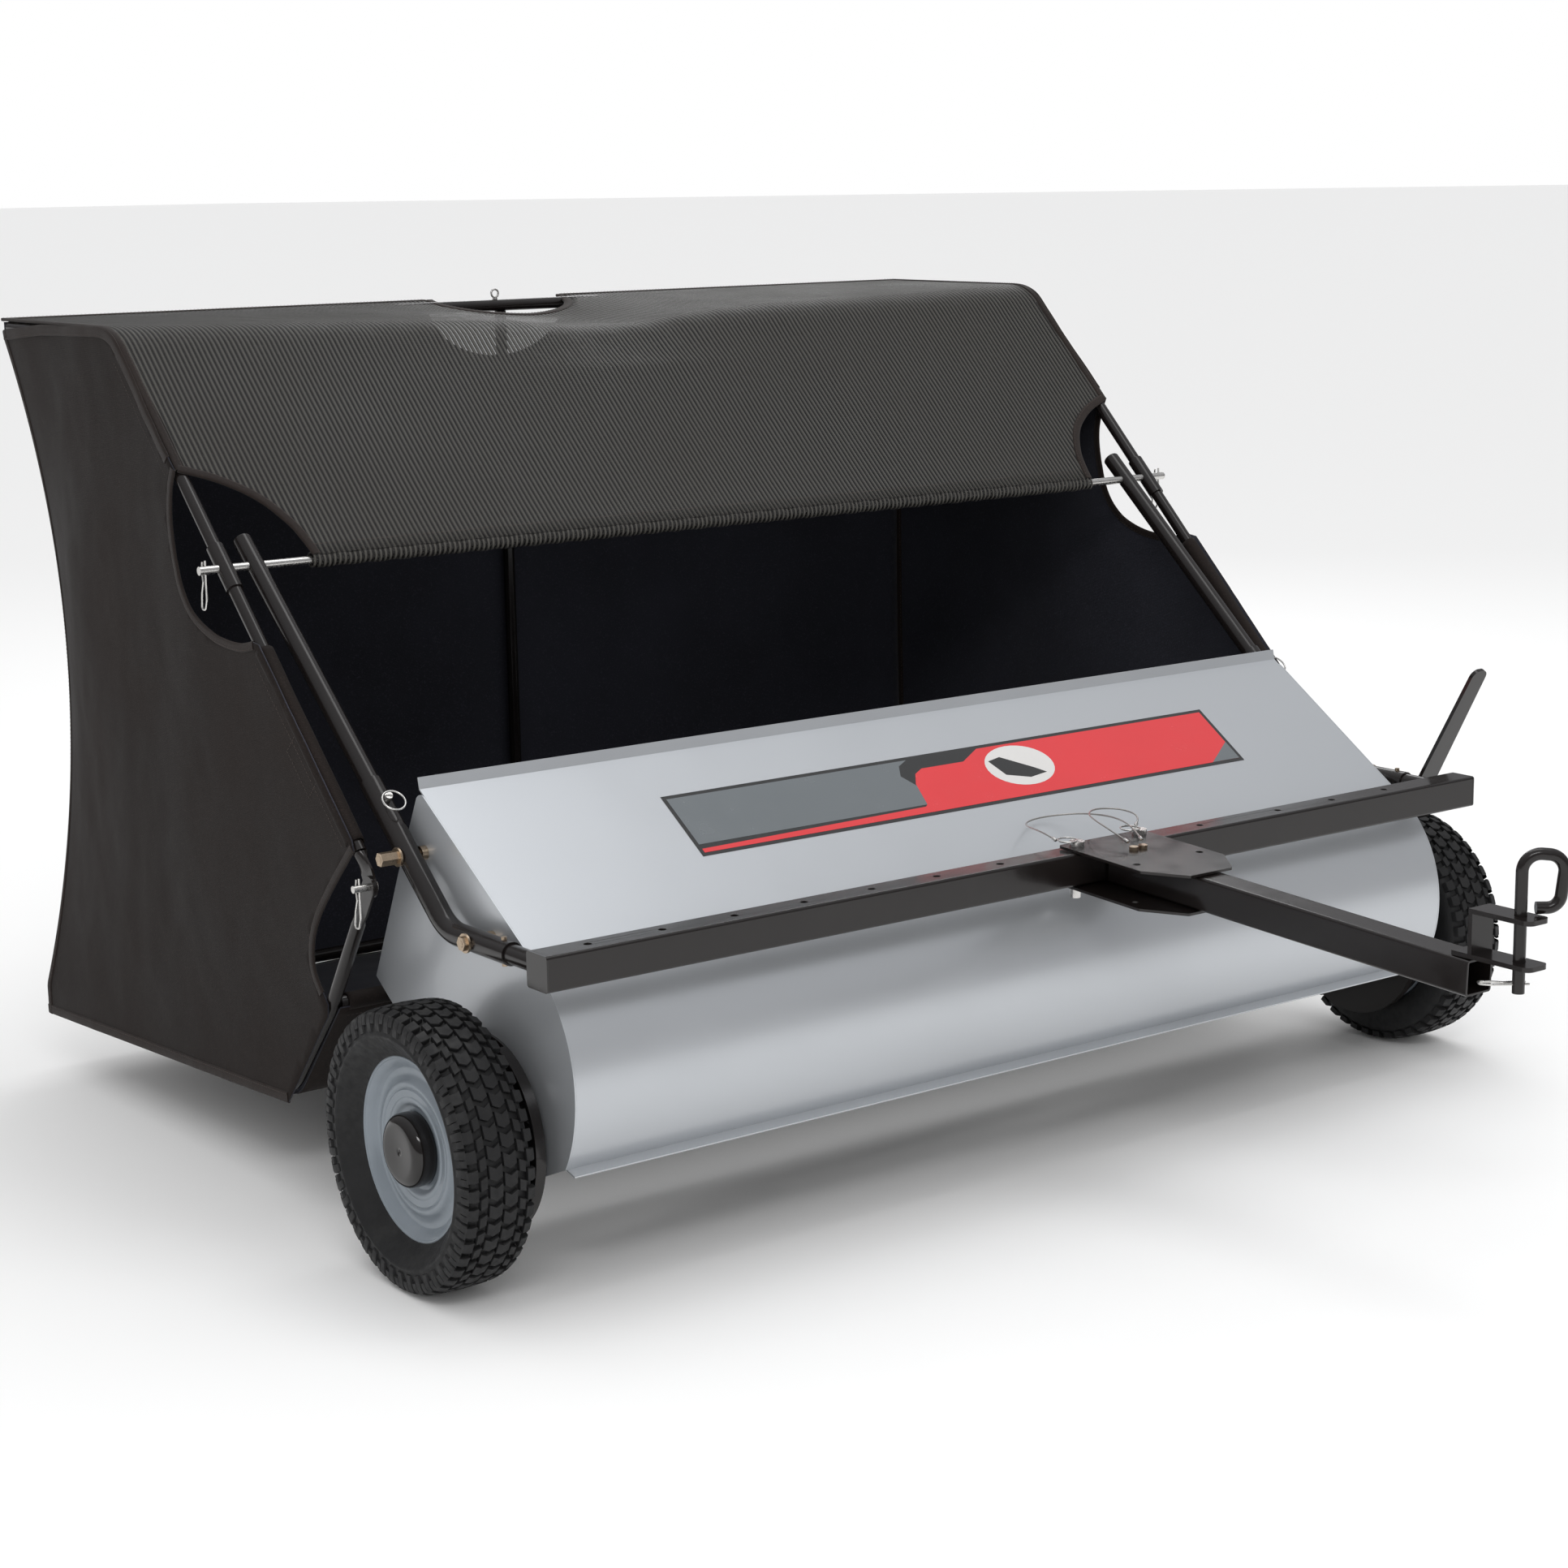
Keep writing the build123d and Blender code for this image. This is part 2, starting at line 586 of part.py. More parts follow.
HUB_OUT = 752.0
with BuildPart() as axle_bolt:
    with BuildSketch(side_plane(ARM_IN - 4)):
        with Locations(WHEEL_AXIS):
            Circle(13)
    extrude(amount=3.9)
    with BuildSketch(side_plane(ARM_IN - 4)):
        with Locations(WHEEL_AXIS):
            Circle(AXLE_R)
    extrude(amount=HUB_OUT - ARM_IN + 12)
    with BuildSketch(side_plane(ARM_IN + ARM_T + 0.1)):
        with Locations(WHEEL_AXIS):
            RegularPolygon(15, 6)
    extrude(amount=9)
    with BuildSketch(side_plane(HUB_OUT + 0.4)):
        with Locations(WHEEL_AXIS):
            Circle(16)
    extrude(amount=3)
save(both_sides(axle_bolt.part), "axle_bolts")

with BuildPart() as height_lever:
    with BuildSketch(Plane(origin=lever_root, x_dir=lever_side, z_dir=(1, 0, 0))):
        with Locations((0, (LEVER_TAB + 27) / 2)):
            Rectangle(LEVER_W, LEVER_TAB - 27)
    extrude(amount=4)
    with BuildSketch(Plane(origin=lever_root + lever_dir * LEVER_TAB, x_dir=lever_side,
                           z_dir=lever_dir)):
        with Locations((0, -(LEVER_X + LEVER_W / 2 - lever_root.X) / 2)):
            Rectangle(LEVER_W, LEVER_X + LEVER_W / 2 - lever_root.X)
    extrude(amount=4)
    with BuildSketch(Plane(origin=at(LEVER_X, BRUSH_AXIS), x_dir=(1, 0, 0),
                           z_dir=lever_side * -1)) as blade:
        with BuildLine():
            Polyline((-LEVER_W / 2, LEVER_TAB), (LEVER_W / 2, LEVER_TAB),
                     (LEVER_W / 2, 168), (LEVER_W / 2 - 3, LEVER_TIP),
                     (-LEVER_W / 2 + 3, LEVER_TIP), (-LEVER_W / 2, 168), close=True)
        make_face()
        fillet(blade.vertices().group_by(Axis.Z)[-1], 11)
    extrude(amount=LEVER_T / 2, both=True)
save(height_lever.part, "height_lever")

# ---------------------------------------------------------------- wheels

axle_line = Axis((0, AXLE_Y, WHEEL_R), (1, 0, 0))
wheel_section = Plane(origin=(0, AXLE_Y, WHEEL_R), x_dir=(1, 0, 0), z_dir=(0, -1, 0))
BEAD_R = 99.0

with BuildPart() as tyre:
    with BuildSketch(wheel_section) as section:
        with BuildLine():
            Polyline((WHEEL_IN, 132), (WHEEL_IN + 3, 144), (WHEEL_IN + 12, 149))
            Line((WHEEL_IN + 12, 149), (WHEEL_IN + 18, WHEEL_R - 1))
            ThreePointArc((WHEEL_IN + 18, WHEEL_R - 1), (737, WHEEL_R), (763, WHEEL_R - 1))
            Polyline((763, WHEEL_R - 1), (772, 144), (WHEEL_OUT, 132), (WHEEL_OUT, 124),
                     (WHEEL_OUT - 3, 121), (757, 103), (754, BEAD_R), (696, BEAD_R),
                     (WHEEL_IN + 2, 104), (WHEEL_IN, 112), (WHEEL_IN, 132))
        make_face()
        with Locations((733, 124)):
            Circle(15, mode=Mode.SUBTRACT)
    revolve(axis=axle_line)
save_pair(tyre.part, "tyre")

with BuildPart() as rim:
    with BuildSketch(wheel_section):
        with BuildLine():
            Polyline((694, BEAD_R), (754, BEAD_R), (752, 93), (743, 84), (741, 76), (745, 68),
                     (749, 62), (748, 52), (744, 46), (744, 17), (HUB_OUT, 16),
                     (HUB_OUT, AXLE_R + 0.1), (698, AXLE_R + 0.1), (698, 16), (741.4, 16),
                     (741.4, 47), (745.2, 54), (746, 61), (742.4, 67), (738, 75), (740, 85.5),
                     (748.5, 94), (749.5, 97), (694, 97), close=True)
        make_face()
    revolve(axis=axle_line)
save_pair(rim.part, "rim")

CAP_R = 40.0
with BuildPart() as hub_cap:
    with BuildSketch(wheel_section):
        with BuildLine():
            Polyline((767, 0), (767.6, 14), (769, 30), (765, CAP_R - 3), (760, CAP_R),
                     (744.1, CAP_R), (744.1, 34), (746.5, 34), (746.5, CAP_R - 2.4),
                     (759, CAP_R - 2.4), (763.2, 35), (766.4, 28), (765.4, 14), (765, 0),
                     close=True)
        make_face()
    revolve(axis=axle_line)
save_pair(hub_cap.part, "hub_cap")

# Straight-flanked gear teeth with generous backlash, as moulded gears of this kind have.
RING_R = GEAR_MODULE * RING_TEETH / 2
PINION_R = GEAR_MODULE * PINION_TEETH / 2
GEAR_IN = 696.0
GEAR_OUT = 709.0
TOOTH_HALF = 1.28
FLANK = math.tan(math.radians(20))
RING_TIP = 1.7
RING_ROOT = 2.5


def tooth_outline(pitch_r, tip, root, outward):
    """Half-angle corner list of one tooth about the +Y ray, as (x, y) points."""
    sign = 1 if outward else -1
    tip_half = TOOTH_HALF - tip * FLANK
    root_half = TOOTH_HALF + root * FLANK
    low = pitch_r - sign * root
    high = pitch_r + sign * tip
    return [(-root_half, low), (-tip_half, high), (tip_half, high), (root_half, low)]


def gear_teeth(plane, pitch_r, teeth, outward, length, first_angle):
    """All teeth of a gear as one part, on the plane's origin."""
    corners = tooth_outline(pitch_r, RING_TIP, RING_ROOT + 0.4, outward)
    with BuildPart() as gear:
        with BuildSketch(plane):
            with PolarLocations(0, teeth, start_angle=first_angle):
                Polygon(*corners, align=None)
        extrude(amount=length)
    return gear.part


with BuildPart() as ring_gear:
    with BuildSketch(side_plane(GEAR_IN)):
        with Locations(WHEEL_AXIS):
            Circle(96.8)
            Circle(RING_R + RING_ROOT, mode=Mode.SUBTRACT)
    extrude(amount=GEAR_OUT - GEAR_IN)
    gear_plane = Plane(origin=at(GEAR_IN, WHEEL_AXIS), x_dir=(0, 1, 0), z_dir=(1, 0, 0))
    add(gear_teeth(gear_plane, RING_R, RING_TEETH, False, GEAR_OUT - GEAR_IN, 0))
save_pair(ring_gear.part, "ring_gear")

PINION_IN = GEAR_IN + 1
PINION_OUT = GEAR_OUT - 1
with BuildPart() as pinion:
    with BuildSketch(side_plane(PINION_IN - 6)):
        with Locations(BRUSH_AXIS):
            Circle(PINION_R - RING_ROOT)
            Circle(SHAFT_R, mode=Mode.SUBTRACT)
    extrude(amount=PINION_OUT - PINION_IN + 6)
    pinion_plane = Plane(origin=at(PINION_IN, BRUSH_AXIS), x_dir=(0, 1, 0), z_dir=(1, 0, 0))
    teeth_ring = gear_teeth(pinion_plane, PINION_R, PINION_TEETH, True, PINION_OUT - PINION_IN,
                            180 / PINION_TEETH)
    add(teeth_ring)
save(both_sides(pinion.part), "pinions")

# ---------------------------------------------------------------- brush

SHAFT_HALF = 712.0
CORE_R = 26.0
save(bar_between(at(-SHAFT_HALF, BRUSH_AXIS), at(SHAFT_HALF, BRUSH_AXIS), SHAFT_R - 0.02),
     "brush_shaft")

with BuildPart() as brush_core:
    with BuildSketch(side_plane(-BRUSH_HALF)):
        with Locations(BRUSH_AXIS):
            Circle(CORE_R)
            Circle(CORE_R - 2.5, mode=Mode.SUBTRACT)
    extrude(amount=2 * BRUSH_HALF)
    for start in (-BRUSH_HALF, BRUSH_HALF - 6):
        with BuildSketch(side_plane(start)):
            with Locations(BRUSH_AXIS):
                Circle(CORE_R - 1)
                Circle(SHAFT_R, mode=Mode.SUBTRACT)
        extrude(amount=6)
save(brush_core.part, "brush_core")

# Four bristle rows, each winding half a turn along the core.
ROWS = 4
ROW_TWIST = 180.0
ROW_T = 9.0
brush_end = at(-BRUSH_HALF, BRUSH_AXIS)
bristle_rows = []
for row in range(ROWS):
    with BuildSketch(Plane(origin=brush_end, x_dir=(0, 1, 0), z_dir=(1, 0, 0))) as row_end:
        with Locations(Location((0, 0), 360 * row / ROWS)):
            with Locations((0, CORE_R + 0.2)):
                Rectangle(ROW_T, BRUSH_R - CORE_R - 0.2, align=(Align.CENTER, Align.MIN))
    bristle_rows.append(Solid.extrude_linear_with_rotation(
        row_end.sketch.faces()[0], brush_end, (2 * BRUSH_HALF, 0, 0), ROW_TWIST))
save(Compound(children=bristle_rows), "brush_bristles")

with BuildPart() as bearing:
    with BuildSketch(side_plane(BRUSH_HALF + 3)):
        with Locations(BRUSH_AXIS):
            Circle(20)
    extrude(amount=COVER_HALF - BRUSH_HALF - 3.05)
    with BuildSketch(side_plane(COVER_HALF - 1)):
        with Locations(BRUSH_AXIS):
            Circle(12)
    extrude(amount=9)
    with BuildSketch(side_plane(HOUSING_HALF + 0.05)):
        with Locations(BRUSH_AXIS):
            Circle(14)
    extrude(amount=12)
    with BuildSketch(side_plane(BRUSH_HALF)):
        with Locations(BRUSH_AXIS):
            Circle(SHAFT_R + 0.06)
    extrude(amount=60, mode=Mode.SUBTRACT)
save(both_sides(bearing.part), "brush_bearings")

# ---------------------------------------------------------------- hopper frame

SLEEVE_HALF = 31.0
TUBE_BORE = TUBE_R - TUBE_WALL
TAB_HALF = 12.0
TAB_T = 2.8

RIDGE_RUN = (TOP_Z - PIVOT[1]) / math.sin(math.radians(HOPPER_SLOPE))
RIDGE_BEND = 70.0
upper_route = [on_slope(6.5), on_slope(RIDGE_RUN), (REAR_TUBE_Y + TUBE_R, TOP_Z)]
upper_tube = tube_along(HOPPER_X, upper_route, RIDGE_BEND, TUBE_R, TUBE_BORE)
save_pair(upper_tube, "hopper_top_tube")


def tab_end(x, start, end, plate_x):
    """Flattened tube end: a taper from the round tube down to a drilled flat tab."""
    run = Vector(0, end[0] - start[0], end[1] - start[1])
    length = run.length
    base = at(x, start)
    offset_x = plate_x - x
    with BuildPart() as tab:
        with BuildSketch(Plane(origin=base, x_dir=(1, 0, 0), z_dir=run)):
            Circle(TUBE_R)
        with BuildSketch(Plane(origin=base + run.normalized() * 24, x_dir=(1, 0, 0), z_dir=run)):
            with Locations((offset_x, 0)):
                Rectangle(TAB_T, 2 * TAB_HALF)
        loft()
        with BuildSketch(Plane(origin=base + Vector(offset_x - TAB_T / 2, 0, 0), x_dir=run,
                               z_dir=(1, 0, 0))):
            with Locations(((24 + length) / 2, 0)):
                Rectangle(length - 24, 2 * TAB_HALF)
            with Locations((length, 0)):
                Circle(TAB_HALF)
                Circle(4.1, mode=Mode.SUBTRACT)
        extrude(amount=TAB_T)
    return tab.part


front_end = on_slope(-398)
front_tube = bar_between(at(HOPPER_X, on_slope(-6.5)), at(HOPPER_X, front_end), TUBE_R, TUBE_BORE)
with BuildPart() as hopper_front_tube:
    add(front_tube)
    add(tab_end(HOPPER_X, front_end, LOW_PIN, HOPPER_X - 1.5))
save_pair(hopper_front_tube.part, "hopper_front_tube")

LOW_CORNER = (HEM[0] + 4, HEM[1] - 6)
TAB_SHARE = 0.295                   # part of the run from the pin to the corner that is flattened
low_start = (LOW_PIN[0] + TAB_SHARE * (LOW_CORNER[0] - LOW_PIN[0]),
             LOW_PIN[1] + TAB_SHARE * (LOW_CORNER[1] - LOW_PIN[1]))
low_route = [low_start, LOW_CORNER, FLOOR_FRONT, (REAR_TUBE_Y + TUBE_R, FLOOR_REAR_Z)]
low_tube = tube_along(HOPPER_X, low_route, [120, 60], TUBE_R, TUBE_BORE)
with BuildPart() as hopper_floor_tube:
    add(low_tube)
    add(tab_end(HOPPER_X, low_start, LOW_PIN, HOPPER_X + 1.5))
save_pair(hopper_floor_tube.part, "hopper_floor_tube")

CROSS_HALF = HOPPER_X - TUBE_R - 0.05


def cross_tube(point):
    """Straight tube between the two side frames at a side profile point."""
    return bar_between(at(-CROSS_HALF, point), at(CROSS_HALF, point), TUBE_R, TUBE_BORE)


save(cross_tube((REAR_TUBE_Y, TOP_Z)), "hopper_rear_top_tube")
floor_tubes = [cross_tube((REAR_TUBE_Y, FLOOR_REAR_Z)), cross_tube(HEM)]
save(Compound(children=floor_tubes), "hopper_floor_cross_tubes")

save(bar_between(at(0, (REAR_TUBE_Y, FLOOR_REAR_Z + TUBE_R + 0.05)),
                 at(0, (REAR_TUBE_Y, TOP_Z - TUBE_R - 0.05)), TUBE_R, TUBE_BORE), "hopper_upright")

with BuildPart() as hopper_sleeve:
    add(bar_between(at(HOPPER_X, on_slope(-SLEEVE_HALF)), at(HOPPER_X, on_slope(SLEEVE_HALF)),
                    TUBE_R + 2.2, TUBE_R + 0.05))
    with BuildSketch(side_plane(HOPPER_X - 15)):
        with Locations(PIVOT):
            Circle(ROD_R + 0.05)
    extrude(amount=30, mode=Mode.SUBTRACT)
save(both_sides(hopper_sleeve.part), "hopper_sleeves")

CLIP_X = ROD_HALF - 8
with BuildPart() as pivot_rod:
    add(bar_between(at(-ROD_HALF, PIVOT), at(ROD_HALF, PIVOT), ROD_R))
    with BuildSketch(top_plane(PIVOT[1] - 10)):
        with Locations((CLIP_X, PIVOT[0]), (-CLIP_X, PIVOT[0])):
            Circle(1.5)
    extrude(amount=20, mode=Mode.SUBTRACT)
save(pivot_rod.part, "hopper_pivot_rod")

LOW_PIN_HALF = 727.0
with BuildPart() as low_pin:
    add(bar_between(at(HOPPER_X - 6.5, LOW_PIN), at(LOW_PIN_HALF, LOW_PIN), 4.0))
    with BuildSketch(side_plane(HOPPER_X - 6.5)):
        with Locations(LOW_PIN):
            Circle(6.5)
    extrude(amount=3.4)
    with BuildSketch(top_plane(LOW_PIN[1] - 10)):
        with Locations((LOW_PIN_HALF - 8, LOW_PIN[0])):
            Circle(1.5)
    extrude(amount=20, mode=Mode.SUBTRACT)
save(both_sides(low_pin.part), "hopper_low_pins")

clips = []
for x, point, radius in ((CLIP_X, PIVOT, ROD_R), (LOW_PIN_HALF - 8, LOW_PIN, 4.0)):
    hang = Plane(origin=at(x, point), x_dir=(0, 1, 0), z_dir=(1, 0, 0))
    clip = hairpin(hang, radius)
    clips += [clip, mirror(clip, about=Plane.YZ)]
save(Compound(children=clips), "hopper_hairpins")

eye = at(-8, (REAR_TUBE_Y, TOP_Z + TUBE_R))
with BuildPart() as rope_eye:
    add(bar_between(eye + Vector(0, 0, 0.05), eye + Vector(0, 0, 4), 3.5))
    add(ring_at(eye + Vector(0, 0, 8.4), (0, 1, 0), 5.5, 1.4))
save(rope_eye.part, "dump_rope_eye")

# ---------------------------------------------------------------- fabric hopper

SEAM_LIFT = TUBE_R + 0.4
TOP_HALF = BAG_X - FABRIC - 0.3
MESH_HALF = 598.0                   # half width of the mesh where it wraps the rod
NOTCH_HALF = 110.0


def top_line(lift):
    """Corners of the top panel's section, a distance out from the tube centres."""
    ridge = on_slope(RIDGE_RUN, lift)
    gap = TOP_Z + lift - ridge[1]
    corner = (ridge[0] + gap / math.tan(math.radians(HOPPER_SLOPE)), TOP_Z + lift)
    return [on_slope(0, lift), corner, (REAR_REACH, TOP_Z + lift)]


CORNER_CUT = [(MESH_HALF, -20), (MESH_HALF, 8), (MESH_HALF + 12, 50), (MESH_HALF + 35, 88),
              (MESH_HALF + 80, 122), (BAG_X + 5, 140), (BAG_X + 5, -20)]
with BuildPart() as bag_top_mesh:
    with BuildSketch(side_plane(-TOP_HALF)):
        with BuildLine():
            under = FilletPolyline(*top_line(SEAM_LIFT), radius=RIDGE_BEND + SEAM_LIFT)
            over = FilletPolyline(*top_line(SEAM_LIFT + FABRIC),
                                  radius=RIDGE_BEND + SEAM_LIFT + FABRIC)
            Line(under @ 0, over @ 0)
            Line(under @ 1, over @ 1)
        make_face()
    extrude(amount=2 * TOP_HALF)
    slope_face = Plane(origin=at(0, on_slope(0, SEAM_LIFT)), x_dir=(1, 0, 0),
                       z_dir=Vector(0, *polar(HOPPER_SLOPE + 90, 1)))
    with BuildSketch(slope_face.offset(-5)):
        Polygon(*CORNER_CUT, align=None)
        Polygon(*[(-x, run) for x, run in CORNER_CUT], align=None)
    extrude(amount=12, mode=Mode.SUBTRACT)
    with BuildSketch(top_plane(TOP_Z)):
        with Locations((0, REAR_REACH)):
            Ellipse(NOTCH_HALF, 95)
    extrude(amount=30, mode=Mode.SUBTRACT)
    with BuildSketch(side_plane(-MESH_HALF)):
        with Locations(PIVOT):
            Circle(SEAM_LIFT + FABRIC)
            Circle(ROD_R + 0.6, mode=Mode.SUBTRACT)
    extrude(amount=2 * MESH_HALF)
save(bag_top_mesh.part, "bag_top_mesh")

# The rear corners of the bag pull inward between the floor tubes and the top tubes.
BOW_LOW = FLOOR_REAR_Z + 26
BOW_HIGH = TOP_Z - 12
BOW_STEPS = 10
BOW_LEAST = 0.05
SHEET_FOLD = 760.0                  # the side panel is flat in front of this
SHEET_FRONT = 120.0
SHEET_REAR = REAR_REACH - 1.0


def sheet_levels(low, high):
    """Heights across a bowed sheet, each with how far the corner pulls in there."""
    levels = [(low, BOW_LEAST)]
    for step in range(BOW_STEPS + 1):
        part = step / BOW_STEPS
        pull = BOW_LEAST + 4 * BOW * part * (1 - part)
        levels.append((BOW_LOW + (BOW_HIGH - BOW_LOW) * part, pull))
    return levels + [(high, BOW_LEAST)]


def side_sheet():
    """Bowed sheet on the right, wider than the panel, thickness inward."""
    with BuildPart() as sheet:
        for level, pull in sheet_levels(FLOOR_REAR_Z - 30, TOP_Z + 30):
            inner = BAG_X - FABRIC
            with BuildSketch(top_plane(level)):
                Polygon((inner, SHEET_FRONT), (BAG_X, SHEET_FRONT), (BAG_X, SHEET_FOLD),
                        (BAG_X - pull, SHEET_REAR - pull), (inner - pull, SHEET_REAR - pull),
                        (inner, SHEET_FOLD), align=None)
        loft(ruled=True)
    return sheet.part


with BuildPart() as side_outline:
    with BuildSketch(side_plane(BAG_X - 60)) as trimmed:
        with BuildLine():
            Polyline((1030, 40), (1030, TOP_Z - 6), (770, TOP_Z + 14),
                     (on_slope(RIDGE_RUN + 22)[0], TOP_Z + SEAM_LIFT + FABRIC),
                     on_slope(RIDGE_RUN - 14, SEAM_LIFT + FABRIC),
                     on_slope(140, SEAM_LIFT + FABRIC), on_slope(140, -10))
            Spline(on_slope(140, -10), (569, 756), (541, 683), (500, 640), (425, 612),
                   on_slope(-112, -10))
            Polyline(on_slope(-112, -10), on_slope(-118, SEAM_LIFT + FABRIC),
                     on_slope(-392, SEAM_LIFT + FABRIC), on_slope(-397, -8))
            Spline(on_slope(-397, -8), (205, 395), (262, 330), (268, 285), (249, 262))
            Polyline((249, 262), (236, 250), (240, 236), (344, 112), (430, 106), (1030, 68),
                     (1030, 40))
        make_face()
    extrude(amount=80)
with BuildPart() as bag_side:
    add(side_sheet())
    add(side_outline.part, mode=Mode.INTERSECT)
save_pair(bag_side.part, "bag_side")

FLOOR_HALF = 702.0
with BuildPart() as bag_floor:
    with BuildSketch(side_plane(-FLOOR_HALF)):
        with BuildLine():
            Line((HEM[0] - 9.6, HEM[1] - 4.0), (FLOOR_FRONT[0] - 9, FLOOR_FRONT[1] - 7))
            ThreePointArc((FLOOR_FRONT[0] - 9, FLOOR_FRONT[1] - 7),
                          (FLOOR_FRONT[0] + 4, FLOOR_FRONT[1] - 15),
                          (FLOOR_FRONT[0] + 26, FLOOR_FRONT[1] - 18.4))
            Line((FLOOR_FRONT[0] + 26, FLOOR_FRONT[1] - 18.4), (REAR_REACH - 4, FLOOR_REAR_Z - 15))
            offset(amount=FABRIC, side=Side.LEFT)
        make_face()
    extrude(amount=2 * FLOOR_HALF)
    with BuildSketch(side_plane(-CROSS_HALF + 6)):
        with Locations(HEM):
            Circle(TUBE_R + 2.4)
            Circle(TUBE_R + 0.3, mode=Mode.SUBTRACT)
    extrude(amount=2 * CROSS_HALF - 12)
save(bag_floor.part, "bag_floor")

with BuildPart() as bag_rear:
    for level, pull in sheet_levels(FLOOR_REAR_Z - 14, TOP_Z + 8):
        half = TOP_HALF - 3.5 - pull
        inner = REAR_REACH - FABRIC
        with BuildSketch(top_plane(level)):
            Polygon((-half, inner - pull), (-half / 2, inner - pull / 4), (0, inner),
                    (half / 2, inner - pull / 4), (half, inner - pull),
                    (half, REAR_REACH - pull), (half / 2, REAR_REACH - pull / 4),
                    (0, REAR_REACH), (-half / 2, REAR_REACH - pull / 4),
                    (-half, REAR_REACH - pull), align=None)
    loft(ruled=True)
    with BuildSketch(rear_plane(REAR_REACH + 10)):
        with Locations((0, TOP_Z + 6)):
            Ellipse(NOTCH_HALF, 76)
    extrude(amount=40, mode=Mode.SUBTRACT)
save(bag_rear.part, "bag_rear")
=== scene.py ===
import json
import math
import random

import bmesh
import bpy
import numpy as np
from mathutils import Matrix, Vector, noise
from mathutils.geometry import delaunay_2d_cdt


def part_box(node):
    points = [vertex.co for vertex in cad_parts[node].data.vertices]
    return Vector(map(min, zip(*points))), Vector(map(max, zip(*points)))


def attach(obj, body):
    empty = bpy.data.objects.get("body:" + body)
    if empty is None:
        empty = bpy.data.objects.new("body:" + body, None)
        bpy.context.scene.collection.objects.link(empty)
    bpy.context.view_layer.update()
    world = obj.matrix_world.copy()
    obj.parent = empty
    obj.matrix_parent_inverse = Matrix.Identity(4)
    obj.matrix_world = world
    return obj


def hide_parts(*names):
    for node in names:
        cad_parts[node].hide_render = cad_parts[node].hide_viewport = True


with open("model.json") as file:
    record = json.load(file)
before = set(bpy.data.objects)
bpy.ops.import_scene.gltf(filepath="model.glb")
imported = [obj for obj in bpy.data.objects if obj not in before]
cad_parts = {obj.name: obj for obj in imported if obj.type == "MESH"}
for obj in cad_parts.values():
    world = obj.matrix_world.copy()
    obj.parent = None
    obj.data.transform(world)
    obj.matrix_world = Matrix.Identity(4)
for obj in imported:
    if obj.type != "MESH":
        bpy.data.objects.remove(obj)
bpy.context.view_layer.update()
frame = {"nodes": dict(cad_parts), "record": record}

NODES = frame["nodes"]
MM = 0.001
shaft_low, shaft_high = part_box("brush_shaft")
AXLE_Y = (shaft_low.y + shaft_high.y) / 2
axle_low, axle_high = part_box("axle_bolts")
AXLE_Z = (axle_low.z + axle_high.z) / 2


def at(x, y, z):
    """Frame point from millimetres, y counted rearward from the axle."""
    return Vector((x * MM, y * MM + AXLE_Y, z * MM))


# ------------------------------------------------------------------ materials

def new_material(name):
    mat = bpy.data.materials.new(name)
    mat.use_nodes = True
    tree = mat.node_tree
    return mat, tree, tree.nodes["Principled BSDF"]


def node(tree, kind, inputs=None, **settings):
    made = tree.nodes.new(kind)
    for key, value in settings.items():
        setattr(made, key, value)
    for key, value in (inputs or {}).items():
        if isinstance(value, bpy.types.NodeSocket):
            tree.links.new(value, made.inputs[key])
        else:
            made.inputs[key].default_value = value
    return made


def tint(colour, factor):
    return [min(1.0, channel * factor) for channel in colour[:3]] + [1.0]


def mix_colour(tree, factor, a, b):
    made = tree.nodes.new("ShaderNodeMix")
    made.data_type = "RGBA"
    tree.links.new(factor, made.inputs[0])
    for index, value in ((6, a), (7, b)):
        if isinstance(value, bpy.types.NodeSocket):
            tree.links.new(value, made.inputs[index])
        else:
            made.inputs[index].default_value = value
    return made.outputs[2]


def span(tree, value, low, high, source=(0.3, 0.7)):
    made = node(tree, "ShaderNodeMapRange", {"Value": value, "From Min": source[0],
                                             "From Max": source[1], "To Min": low,
                                             "To Max": high})
    return made.outputs["Result"]


